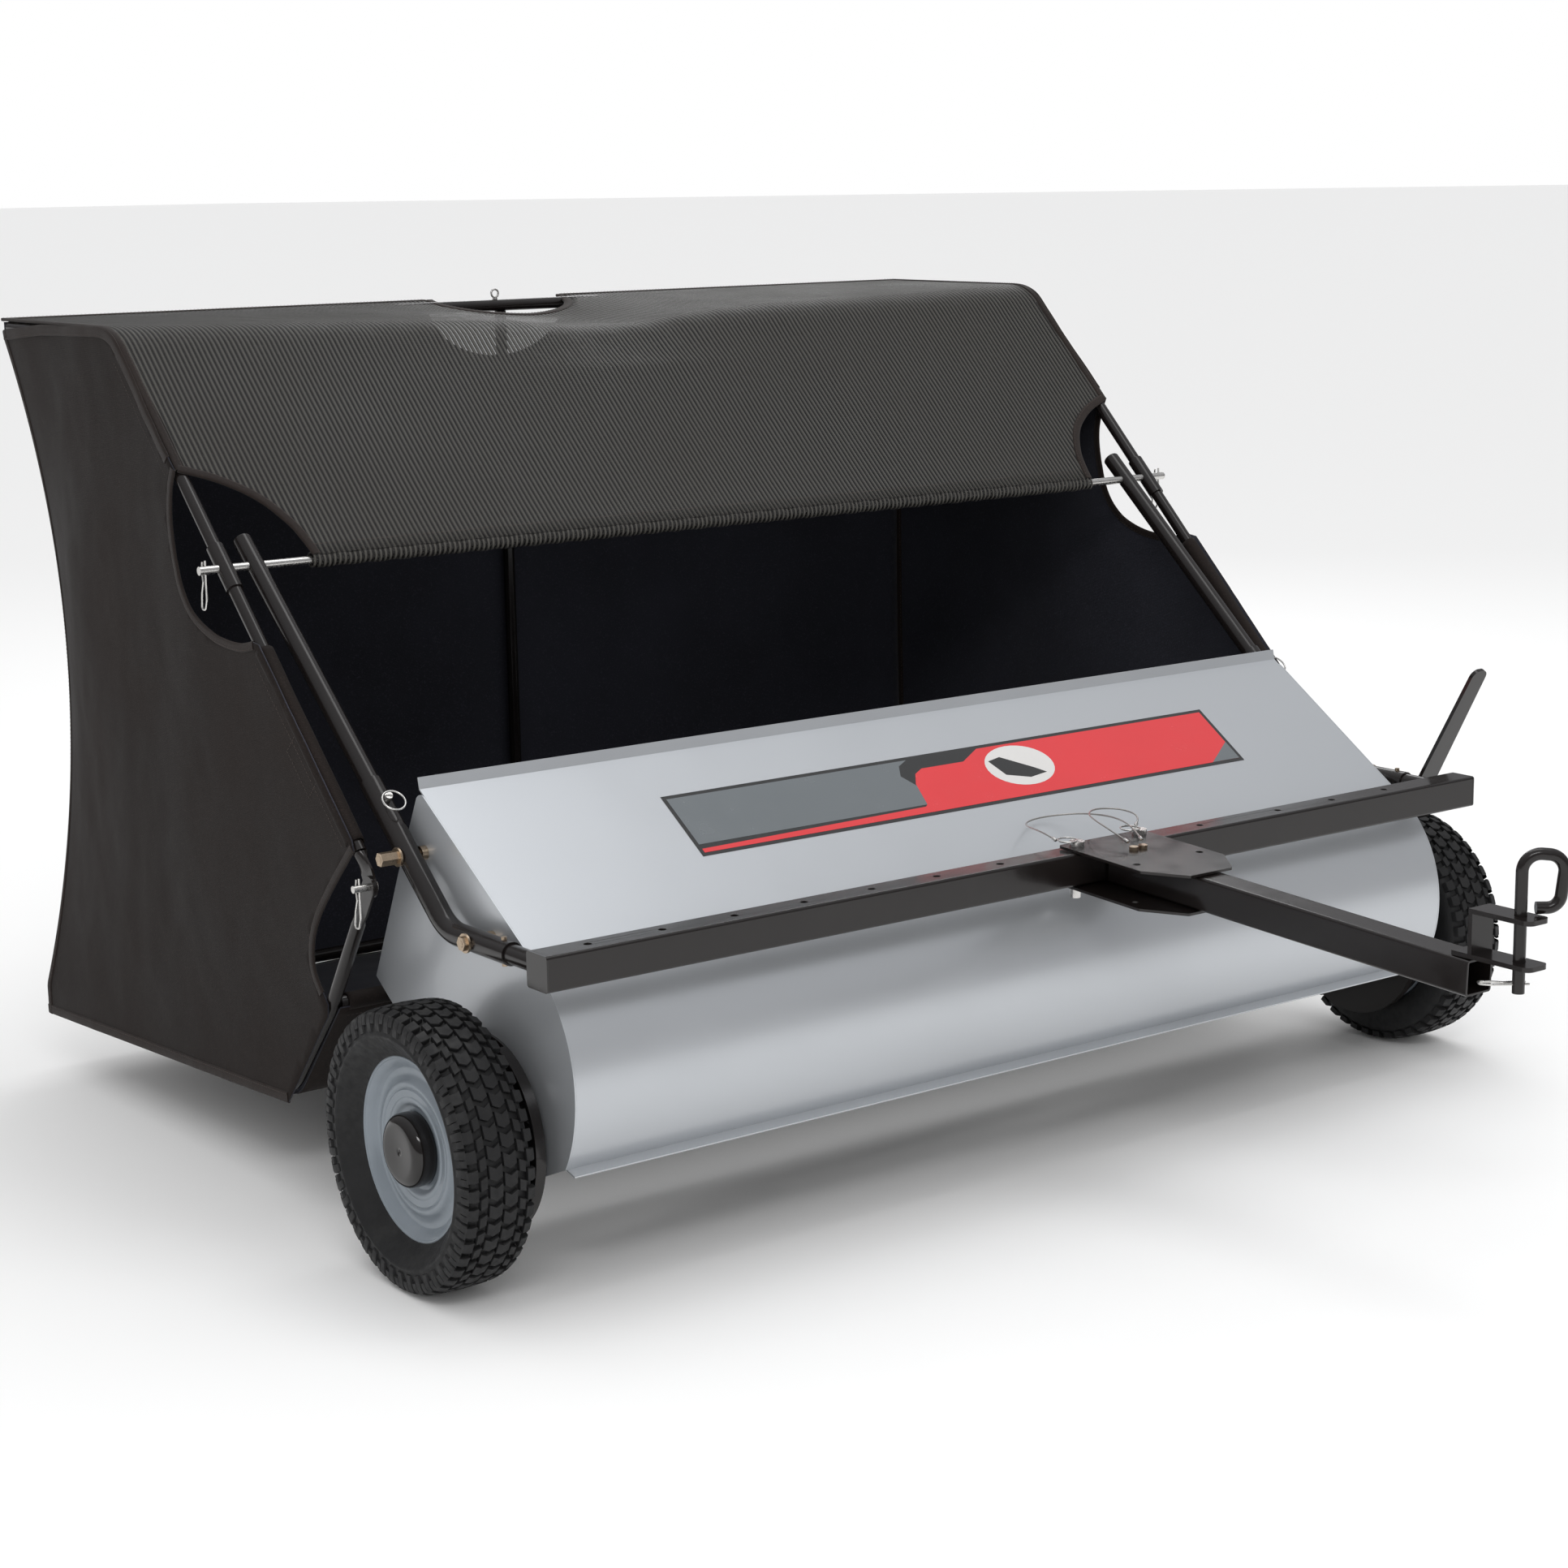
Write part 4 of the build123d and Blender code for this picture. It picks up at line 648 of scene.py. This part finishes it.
def block(verts, faces, corners, turn, low, top, shrink=0.7):
    """One tread block: corners are (x from the tyre's middle, distance round) in mm."""
    base = len(verts)
    mid_x = sum(c[0] for c in corners) / len(corners)
    mid_t = sum(c[1] for c in corners) / len(corners)
    for level in (0, 1, 2):
        for x, t in corners:
            pull = (0.0, 0.25, 1.0)[level] * shrink
            gap = math.hypot(x - mid_x, t - mid_t)
            near = 1 - pull / max(gap, pull * 2, 0.1)
            px, pt = mid_x + (x - mid_x) * near, mid_t + (t - mid_t) * near
            radius = low(px) if level == 0 else top(px) - (0.6 if level == 1 else 0.0)
            angle = turn + pt / TYRE_R
            verts.append((TYRE_MIDDLE + px, angle, radius))
    count = len(corners)
    for level in (0, 1):
        for index in range(count):
            after = (index + 1) % count
            faces.append((base + level * count + index, base + level * count + after,
                          base + (level + 1) * count + after, base + (level + 1) * count + index))
    faces.append(tuple(base + 2 * count + index for index in range(count)))


def tread():
    verts, faces = [], []
    pitch = 2 * math.pi * TYRE_R / PITCHES

    def low(x):
        return crown(x) - 7.0

    zig = [(1.0, 0.0), (8.5, 4.2), (16.5, 0.4), (16.5, pitch * 0.70), (8.5, pitch * 0.70 + 4.2),
           (1.0, pitch * 0.70)]
    outer = [(18.6, 1.2), (26.5, 4.6), (26.5, pitch * 0.62 + 4.0), (18.6, pitch * 0.62 + 1.2)]
    lug = [(28.4, 0.0), (34.5, 1.4), (39.2, 1.4), (39.2, pitch * 0.66), (34.5, pitch * 0.66 + 1.0),
           (28.4, pitch * 0.66)]
    for number in range(PITCHES):
        turn = 2 * math.pi * number / PITCHES
        half = math.pi / PITCHES
        for sign, phase in ((1, 0.0), (-1, half)):
            for corners, shift in ((zig, 0.0), (outer, half * 0.9), (lug, half * 0.2)):
                moved = [(sign * x, t) for x, t in corners]
                block(verts, faces, moved, turn + phase + shift, low, crown)
        for start, span_t, inner_r in ((0.06, 0.56, 128.5), (1.06, 0.46, 136.5)):
            sidewall_rib(verts, faces, turn + start * half, span_t * 2 * half, inner_r)
    return verts, faces


def sidewall_rib(verts, faces, turn, width, inner_r):
    """Raised bar on the outer shoulder, from the tread edge down the sidewall."""
    line = [(771.6, 147.2), (773.8, 142.0), (774.6, 136.0), (774.8, 130.5), (774.6, inner_r)]
    if inner_r > 130:
        line = [(771.6, 147.2), (773.8, 142.0), (774.5, inner_r)]
    base = len(verts)
    for x, r in line:
        for t, sink in ((0.0, 2.4), (0.12, 0.0), (0.88, 0.0), (1.0, 2.4)):
            verts.append((x - sink, turn + width * t, r - sink * 0.5))
    for index in range(len(line) - 1):
        for step in range(3):
            a = base + index * 4 + step
            faces.append((a, a + 1, a + 5, a + 4))
    last = base + (len(line) - 1) * 4
    foot = len(verts)
    for t in (0.0, 0.12, 0.88, 1.0):
        verts.append((771.0, turn + width * t, inner_r - 1.5))
    for step in range(3):
        faces.append((last + step, last + step + 1, foot + step + 1, foot + step))


RIM_PROFILE = [(697, 98.6), (700, 97.4), (712, 96.8), (736, 96.8), (747, 97.2), (752.4, 98.6),
               (754.2, 98.2), (754.4, 97.0), (753.2, 95.8), (750.5, 94.2), (747.6, 91.2),
               (745.4, 88.0), (743.9, 84.6), (743.3, 81.4), (743.6, 78.2), (745.0, 75.0),
               (747.0, 72.6), (748.6, 70.6), (749.3, 68.4), (749.2, 66.2), (748.2, 64.2),
               (746.9, 62.8), (746.2, 61.0), (746.3, 59.0), (747.4, 56.6), (748.6, 54.2),
               (749.0, 51.6), (748.5, 49.2), (747.0, 47.0), (745.2, 45.2), (744.4, 43.0),
               (744.2, 30.0), (744.2, 18.0)]
CAP_PROFILE = [(744.6, 39.4), (748, 39.8), (757, 39.8), (760.5, 39.4), (763.2, 38.2),
               (765.2, 36.4), (767.0, 34.0), (768.4, 31.0), (768.9, 28.6), (768.8, 26.0),
               (768.3, 20.0), (767.6, 13.0), (767.1, 6.0), (767.0, 0.02)]


def lathed(name, profile, sign, steps, finish, body, thickness):
    """Thin-walled turned piece on the axle; finish is (material, slot)."""
    verts, faces = lathe(profile, AXLE, sign, steps)
    made = outward(make_object(name, verts, faces, finish[0], body, finish[1]))
    return thicken(made, thickness, -1.0)


def wheel(side, sign):
    body = "wheel_" + side
    tyre = lathed("tyre_" + side + "_carcass", CARCASS, sign, 138, (RUBBER, "tyre_rubber"), body,
                  0.0015)
    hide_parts("tyre_" + side)
    polar_verts, faces = tread()
    verts = [Vector((sign * x * MM, AXLE[0] + r * MM * math.cos(a), AXLE[1] + r * MM * math.sin(a)))
             for x, a, r in polar_verts]
    lugs = make_object("tyre_" + side + "_tread", verts, faces, RUBBER, body, "tyre_rubber")
    outward(lugs)
    split_edges(lugs, 30)
    lathed("rim_" + side + "_pressing", RIM_PROFILE, sign, 120, (RIM, "rim_paint"), body, 0.0022)
    cap = lathed("hub_cap_" + side + "_dome", CAP_PROFILE, sign, 96, (GLOSS, "cap_plastic"), body,
                 0.0016)
    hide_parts("hub_cap_" + side)


wheel("left", -1)
wheel("right", 1)

# ------------------------------------------------------------------ brush

BRUSH_Z = 221.4
CORE_R, BRUSH_R, BRUSH_HALF = 26.0, 129.0, 634.0


def bristle_rows():
    """Four spiral rows of separate tapered bristles."""
    rng = random.Random(11)
    verts, faces = [], []
    for row in range(4):
        tufts = 210
        for tuft in range(tufts):
            share = (tuft + 0.5) / tufts
            for _ in range(5):
                x = -BRUSH_HALF + 2 * BRUSH_HALF * share + rng.uniform(-2.6, 2.6)
                turn = math.pi / 2 * row + math.pi / 2 + math.pi * share
                off = rng.uniform(-3.4, 3.4)
                lean = rng.uniform(-3.5, 3.5)
                tall = BRUSH_R - rng.uniform(0, 3)
                spoke = (math.cos(turn), math.sin(turn))
                across = (-spoke[1], spoke[0])
                base = len(verts)
                for r, thick, slide in ((CORE_R - 1, 1.0, 0.0), (80, 0.8, lean * 0.4),
                                        (tall, 0.45, lean)):
                    for cx, cw in ((-1, -1), (1, -1), (1, 1), (-1, 1)):
                        side = off + slide + cw * thick
                        verts.append(at(x + slide * 0.5 + cx * thick,
                                       spoke[0] * r + across[0] * side,
                                       BRUSH_Z + spoke[1] * r + across[1] * side))
                for ring in (0, 4):
                    for index in range(4):
                        after = (index + 1) % 4
                        faces.append((base + ring + index, base + ring + after,
                                      base + ring + 4 + after, base + ring + 4 + index))
                faces.append(tuple(base + 8 + index for index in range(4)))
    return verts, faces


brush_verts, brush_faces = bristle_rows()
bristles = make_object("brush_bristle_rows", brush_verts, brush_faces, BRISTLE, "brush",
                       "bristle_fibre", smooth=False)
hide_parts("brush_bristles")

# ------------------------------------------------------------------ bag shapes

PIVOT = (51 + 531 * math.cos(math.radians(41)), 362 + 531 * math.sin(math.radians(41)))
SLOPE = math.radians(44.3)
TOP_Z, REAR_Y, BAG_X = 960.0, 1011.0, 715.0
TOP_SAG, NOTCH_DROOP, FLOOR_SAG = 11.0, 20.0, 5.0
RIDGE_RUN = (TOP_Z - PIVOT[1]) / math.sin(SLOPE)
BOW, BOW_LOW, BOW_HIGH = 40.0, 114.0, 948.0


def on_slope(run, lift=0.0):
    return (PIVOT[0] + run * math.cos(SLOPE) - lift * math.sin(SLOPE),
            PIVOT[1] + run * math.sin(SLOPE) + lift * math.cos(SLOPE))


def pull_at(z):
    """How far the free rear corner is drawn in at a height."""
    t = min(max((z - BOW_LOW) / (BOW_HIGH - BOW_LOW), 0.0), 1.0)
    return 4 * BOW * t * (1 - t)


def ruffle(x, y, z, scale, seed):
    return noise.fractal(Vector((x * scale + seed, y * scale - seed, z * scale)), 0.6, 2.1, 4)


def side_place(sign):
    def place(y, z):
        back = min(max((y - 720.0) / (REAR_Y - 720.0), 0.0), 1.15)
        pull = pull_at(z) * back ** 1.7
        soft = min(1.0, max(0.0, (y - 330.0) / 260.0)) * min(1.0, max(0.0, (z - 110.0) / 120.0))
        held = 1 - min(max((y - 880.0) / (REAR_Y - 880.0), 0.0), 1.0)
        crease = 3.2 * ruffle(y * 0.6, z * 0.35, sign, 0.006, 3.0 + sign) * soft * held
        long_fold = 2.4 * math.sin((y * 0.8 + z * 0.55) * 0.021 + 1.3) * soft * back * held
        near_tube = 0.6 * ruffle(y, z, sign, 0.02, 8.0) * held
        x = BAG_X - pull + crease - long_fold + max(0.0, near_tube)
        return at(sign * x, y - pull_at(z) * back ** 2.2, z)
    return place


SIDE_CUT = [(545, 815), (556, 788), (560, 756), (553, 716), (541, 683), (519, 657), (486, 641),
            (451, 633), (406, 631), (374, 637)]
LOW_CUT = [(163, 436), (185, 415), (212, 388), (246, 350), (264, 318), (266, 286), (249, 262)]
RIDGE = [on_slope(RIDGE_RUN - 34, 10.3), on_slope(RIDGE_RUN - 12, 9.6),
         (on_slope(RIDGE_RUN + 6)[0], TOP_Z + 6.4), (on_slope(RIDGE_RUN + 34)[0], TOP_Z + 9.6),
         (on_slope(RIDGE_RUN + 60)[0], TOP_Z + 9.6)]
SIDE_OUTLINE = (
    [(344, 113), (430, 107.5), (1011, 75), (1011, 956), (900, 966)]
    + list(reversed(curve_through(RIDGE, 4)))
    + curve_through(SIDE_CUT, 5)
    + [on_slope(-118, 10.3), on_slope(-388, 10.3)]
    + curve_through(LOW_CUT, 5)
    + [(238, 250), (240, 236)])

TOP_LIFT = 9.3


def top_section():
    ridge = on_slope(RIDGE_RUN, TOP_LIFT)
    corner = (ridge[0] + (TOP_Z + TOP_LIFT - ridge[1]) / math.tan(SLOPE), TOP_Z + TOP_LIFT)
    return Track(rounded([on_slope(0, TOP_LIFT), corner, (REAR_Y + 0.6, TOP_Z + TOP_LIFT)],
                         [70 + TOP_LIFT], 16))


TOP_TRACK = top_section()


def top_place(x, s):
    (y, z), (ny, nz) = TOP_TRACK.at(s)
    share = min(max(s / TOP_TRACK.length, 0.0), 1.0)
    middle = 1 - min(1.0, (x / 708.0) ** 2)
    sag = TOP_SAG * middle * math.sin(math.pi * share) ** 0.8
    wave = 2.2 * ruffle(x, s * 0.5, 0, 0.005, 21.0) * middle * math.sin(math.pi * share)
    pucker = 0.5 * math.sin(x * 0.26) * math.exp(-s / 14.0)
    droop = NOTCH_DROOP * math.exp(-(x / 150.0) ** 2) * math.sin(math.pi * min(max(
        (s - 270.0) / (TOP_TRACK.length - 270.0), 0.0), 1.0)) ** 0.7
    lift = wave + pucker - sag - droop
    over = max(0.0, s - TOP_TRACK.length)
    return at(x, y + ny * lift + over, z + nz * lift)


MESH_HALF, TOP_HALF = 598.0, 713.4
CORNER = [(MESH_HALF, 0), (MESH_HALF + 4, 24), (MESH_HALF + 12, 50), (MESH_HALF + 35, 88),
          (MESH_HALF + 72, 118), (TOP_HALF, 138)]
NOTCH = [(110 * math.cos(a), -95 * math.sin(a)) for a in
         [math.pi * step / 24 for step in range(25)]]
top_end = TOP_TRACK.length
NOTCH_LINE = [(x, top_end + s) for x, s in NOTCH]
corner_line = curve_through(CORNER, 5)
TOP_OUTLINE = (
    [(-x, s) for x, s in reversed(corner_line)] + corner_line
    + [(TOP_HALF, top_end)] + NOTCH_LINE + [(-TOP_HALF, top_end)])


REAR_HALF = 714.0


def rear_place(u, z):
    pull = pull_at(z)
    share = u / REAR_HALF
    x = u - share * pull
    t = min(max((z - BOW_LOW) / (BOW_HIGH - BOW_LOW), 0.0), 1.0)
    slack = 1 - abs(share) ** 3
    fold = 3.0 * ruffle(u, z * 0.25, 0, 0.006, 40.0) * math.sin(math.pi * t) * slack
    drape = 2.6 * math.sin(u * 0.022 + 0.8 * math.sin(z * 0.006)) * math.sin(math.pi * t) * slack
    return at(x, REAR_Y - pull * share ** 2 + fold + drape, z)


WINDOW = [(110 * math.cos(a), 966 - 76 * math.sin(a)) for a in
          [math.pi * step / 24 for step in range(25)]]
WINDOW_LINE = [p for p in WINDOW if p[1] < 966.5]
REAR_OUTLINE = ([(-REAR_HALF, 76), (REAR_HALF, 76), (REAR_HALF, 966.5)] + WINDOW_LINE
                + [(-REAR_HALF, 966.5)])

FLOOR_TRACK = Track(rounded([(236.0, 244.5), (343.0, 118.0), (1010.0, 74.0)], [46], 10))


def floor_place(x, s):
    (y, z), (ny, nz) = FLOOR_TRACK.at(s)
    share = s / FLOOR_TRACK.length
    middle = 1 - min(1.0, (x / 700.0) ** 2)
    sag = FLOOR_SAG * middle * math.sin(math.pi * min(max((share - 0.25) / 0.75, 0.0), 1.0))
    wave = 1.5 * ruffle(x * 0.6, s, 0, 0.007, 60.0) * middle
    return at(x, y + ny * (wave - sag), z + nz * (wave - sag))


FLOOR_HEM, LOW_TUBE = 690, (245, 248)
FLOOR_OUTLINE = [(-702, 0), (702, 0), (702, FLOOR_TRACK.length), (-702, FLOOR_TRACK.length)]


def side_sleeve(name, sign, x, runs, steps, shape):
    """Wrinkled cloth sleeve round a sloping side tube; shape is (radius, wobble, seed)."""
    start, end = runs
    line = [at(sign * x, *on_slope(start + (end - start) * t / steps)) for t in range(steps + 1)]
    radius, wobble, seed = shape
    verts, faces = tube_mesh(line, radius, 20, wobble=wobble, seed=seed, capped=False)
    made = make_object(name, verts, faces, BAG, "hopper", "bag_fabric",
                       uvs=[(v.y, v.z) for v in verts])
    return thicken(made, SLEEVE_CLOTH, 0.0)


def rod_hem(name, centre, half, steps, sides, reach, mat, slot, wrap_uv):
    """Cloth turned round a cross rod; reach gives the radius at a step and an angle."""
    verts = []
    for index in range(steps + 1):
        point = at(-half + 2 * half * index / steps, *centre)
        for corner in range(sides):
            turn = 2 * math.pi * corner / sides
            verts.append(point + Vector((0, math.cos(turn), math.sin(turn)))
                         * reach(index, turn) * MM)
    return make_object(name, verts, ring_faces(steps, sides), mat, "hopper",
                       slot, uvs=[wrap_uv(vert) for vert in verts])


SLEEVE_CLOTH = 0.0012
CELL = 13.0
for side, sign in (("left", -1), ("right", 1)):
    place = side_place(sign)
    panel = cloth_panel("bag_side_" + side + "_cloth", SIDE_OUTLINE, place, CELL, BAG,
                        "bag_fabric", "bag_side_" + side, lining=LINING, inner_back=sign > 0)
    pieces = []
    pieces += binding(f"bag_side_{side}_cut_tape", curve_through(SIDE_CUT, 5), place, 1)
    pieces += binding(f"bag_side_{side}_low_tape", curve_through(LOW_CUT, 5), place, 1)
    pieces += binding(f"bag_side_{side}_floor_tape", [(344, 113), (430, 107.5), (1011, 75)],
                      place, 1, width=12)
    pieces += binding(f"bag_side_{side}_rear_tape", [(1010.5, 75 + 881 * t / 20)
                                                     for t in range(21)],
                      place, 1, width=11)
    pieces += binding(f"bag_side_{side}_top_tape",
                      [(1011, 956), (900, 966)] + list(reversed(curve_through(RIDGE, 4)))
                      + [on_slope(160, 10.3)], place, 1, width=12)
    seam = [on_slope(-126, -12), on_slope(-384, -12)]
    pieces.append(stitches(f"bag_side_{side}_sleeve_stitch", seam, place, 1.0))
    patch = [on_slope(-300, -2), on_slope(-300, -30), on_slope(-236, -30), on_slope(-236, -2)]
    pieces.append(stitches(f"bag_side_{side}_patch_stitch", patch, place, 1.0))
    seam = [on_slope(150, -12), on_slope(RIDGE_RUN - 30, -12)]
    pieces.append(stitches(f"bag_side_{side}_upper_stitch", seam, place, 1.0))
    sleeve = side_sleeve(f"bag_side_{side}_sleeve", sign, 706, (-386, -120), 44,
                         (9.9, 1.1, sign * 4.0))
    upper = side_sleeve(f"bag_side_{side}_upper_sleeve", sign, 705.5, (144, RIDGE_RUN - 30), 30,
                        (9.4, 0.7, sign * 9.0))
    pieces += [sleeve, upper]

top = cloth_panel("bag_top_rib_mesh", TOP_OUTLINE, top_place, CELL, MESH, "mesh_fabric",
                  "bag_top_mesh", thickness=1.2)
top_pieces = []
for side, sign in (("left", -1), ("right", 1)):
    edge = [(sign * x, s) for x, s in corner_line]
    top_pieces += binding(f"bag_top_{side}_corner_tape", edge, top_place, sign, width=10)
    edge = [(sign * TOP_HALF, s) for s in np.linspace(140, top_end, 40)]
    top_pieces += binding(f"bag_top_{side}_side_tape", edge, top_place, sign, width=9)
top_pieces += binding("bag_top_notch_tape", NOTCH_LINE, top_place, -1, width=11)
for side, sign in (("left", -1), ("right", 1)):
    edge = [(sign * x, top_end) for x in np.linspace(TOP_HALF, 110, 40)]
    top_pieces += binding(f"bag_top_{side}_rear_tape", edge, top_place, -sign, width=10)
hem = rod_hem("bag_top_rod_hem", PIVOT, MESH_HALF, 240, 18,
              lambda index, turn: 9.0 + 0.5 * math.sin(index * 0.9 + 2 * math.sin(turn)),
              MESH, "mesh_fabric", lambda v: (v.x, math.atan2(v.z, v.y) * 0.1))
thicken(hem, SLEEVE_CLOTH, -1.0)
top_pieces.append(hem)
top_pieces.append(stitches("bag_top_rod_stitch", [(x, 15.0) for x in
                                                  np.linspace(-592, 592, 60)],
                           top_place, 0.9, both=False, length=4.4, pitch=6.2))

rear = cloth_panel("bag_rear_cloth", REAR_OUTLINE, rear_place, CELL, BAG, "bag_fabric",
                   "bag_rear", lining=LINING, inner_back=False)
rear_pieces = binding("bag_rear_window_tape", WINDOW_LINE, rear_place, 1, width=11)
rear_pieces += binding("bag_rear_low_tape", [(u, 76) for u in np.linspace(-708, 708, 60)],
                       rear_place, 1, width=12)
for index, z in enumerate((90, 946)):
    line = [(u, z) for u in np.linspace(-700, 700, 50)]
    rear_pieces.append(stitches(f"bag_rear_seam_{index}", line, rear_place, 0.9))

under = cloth_panel("bag_floor_cloth", FLOOR_OUTLINE, floor_place, CELL, BAG, "bag_fabric",
                    "bag_floor", lining=LINING, inner_back=False)
floor_pieces = [stitches("bag_floor_hem_stitch", [(x, 16.0) for x in
                                                  np.linspace(-FLOOR_HEM, FLOOR_HEM, 60)],
                         floor_place, 0.9)]
wrap = rod_hem("bag_floor_hem", LOW_TUBE, FLOOR_HEM, 140, 20,
               lambda index, turn: 9.6 + 0.5 * noise.noise(
                   Vector((index * 0.31, math.cos(turn), math.sin(turn)))),
               BAG, "bag_fabric",
               lambda v: (v.x, math.atan2(v.z - LOW_TUBE[1] * MM, v.y) * 0.01))
thicken(wrap, SLEEVE_CLOTH, 0.0)
floor_pieces.append(wrap)

# ------------------------------------------------------------------ label

label_low, label_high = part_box("label_panel")
COVER_TILT = math.radians(33.4)
label_mid = (label_low + label_high) / 2
label_up = Vector((0, math.cos(COVER_TILT), math.sin(COVER_TILT)))
label_out = Vector((0, -math.sin(COVER_TILT), math.cos(COVER_TILT)))
LABEL_W, LABEL_H = 829.0, 97.0


def label_point(x, h, lift):
    return label_mid + Vector((x * MM, 0, 0)) + label_up * h * MM + label_out * lift * MM


def label_patch(name, outline, lift, mat):
    verts = [label_point(x, h, lift) for x, h in outline]
    verts += [label_point(x, h, lift - 0.12) for x, h in outline]
    count = len(outline)
    faces = [tuple(range(count)), tuple(reversed(range(count, 2 * count)))]
    for index in range(count):
        after = (index + 1) % count
        faces.append((index, index + count, after + count, after))
    return outward(make_object(name, verts, faces, mat, "chassis", "label_print", smooth=False))


def ellipse(centre, radii, steps=36):
    return [(centre[0] + radii[0] * math.cos(2 * math.pi * s / steps),
             centre[1] + radii[1] * math.sin(2 * math.pi * s / steps)) for s in range(steps)]


half_w, half_h = LABEL_W / 2, LABEL_H / 2
border = label_patch("label_border", [(-half_w, -half_h), (half_w, -half_h), (half_w, half_h),
                                      (-half_w, half_h)], -0.02, LABEL_BLACK)
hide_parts("label_panel")
in_w, in_h = half_w - 5, half_h - 5
label_patch("label_grey_field", [(-in_w, -in_h + 13), (-60, -in_h + 13), (-92, in_h - 24),
                                 (-84, in_h - 8), (-68, in_h), (-in_w, in_h)], 0.12, LABEL_GREY)
label_patch("label_red_line", [(-in_w, -in_h), (-in_w + 4, -in_h), (70, -in_h), (70, -in_h + 12),
                               (-in_w, -in_h + 6)], 0.14, LABEL_RED)
label_patch("label_red_field", [(-104, -in_h), (in_w, -in_h), (in_w, in_h), (40, in_h),
                                (8, in_h - 17), (-56, in_h - 17), (-70, in_h - 24),
                                (-80, in_h - 40), (-86, -in_h + 13)], 0.16, LABEL_RED)
label_patch("label_disc", ellipse((82, 6), (50, 34)), 0.28, LABEL_PALE)
label_patch("label_sweep", [(42, 20), (62, 24), (100, -2), (112, -12), (84, -16), (52, -6)],
            0.36, LABEL_BLACK)
label_patch("label_right_band", [(in_w - 46, -in_h), (in_w, -in_h), (in_w, -in_h + 30)],
            0.28, LABEL_GREY)

# ------------------------------------------------------------------ CAD nodes that stay

FINISH = {"housing_paint": SILVER, "black_paint": BLACK, "zinc_plate": ZINC,
          "yellow_zinc": YELLOW, "tyre_rubber": RUBBER, "rim_paint": RIM, "cap_plastic": GLOSS,
          "gear_plastic": NYLON, "bristle_fibre": BRISTLE, "bag_fabric": BAG,
          "mesh_fabric": MESH, "lanyard_cable": CABLE, "label_print": LABEL_GREY}
SOFT_EDGE = {"crossbar": 0.5, "tongue": 0.5, "tongue_plate_top": 0.4, "tongue_plate_bottom": 0.4,
             "hitch_clevis": 0.6, "height_lever": 0.6, "frame_bolts": 0.5, "tongue_bolts": 0.4,
             "axle_bolts": 0.5, "side_plate_left": 0.4, "side_plate_right": 0.4,
             "housing_cover": 0.4}
for entry in frame["record"]["subparts"]:
    piece = NODES[entry["node"]]
    piece.data.materials.clear()
    piece.data.materials.append(FINISH[entry["material_slot"]])
    for polygon in piece.data.polygons:
        polygon.use_smooth = True
    weld = piece.modifiers.new("weld", "WELD")
    weld.merge_threshold = 0.00001
    if entry["node"] in SOFT_EDGE:
        bevel = piece.modifiers.new("bevel", "BEVEL")
        bevel.width = SOFT_EDGE[entry["node"]] * MM
        bevel.segments = 2
        bevel.limit_method = "ANGLE"
        bevel.angle_limit = math.radians(50)
        bevel.use_clamp_overlap = True
    split_edges(piece, 32)
    flat = piece.modifiers.new("flat faces", "WEIGHTED_NORMAL")
    flat.keep_sharp = True
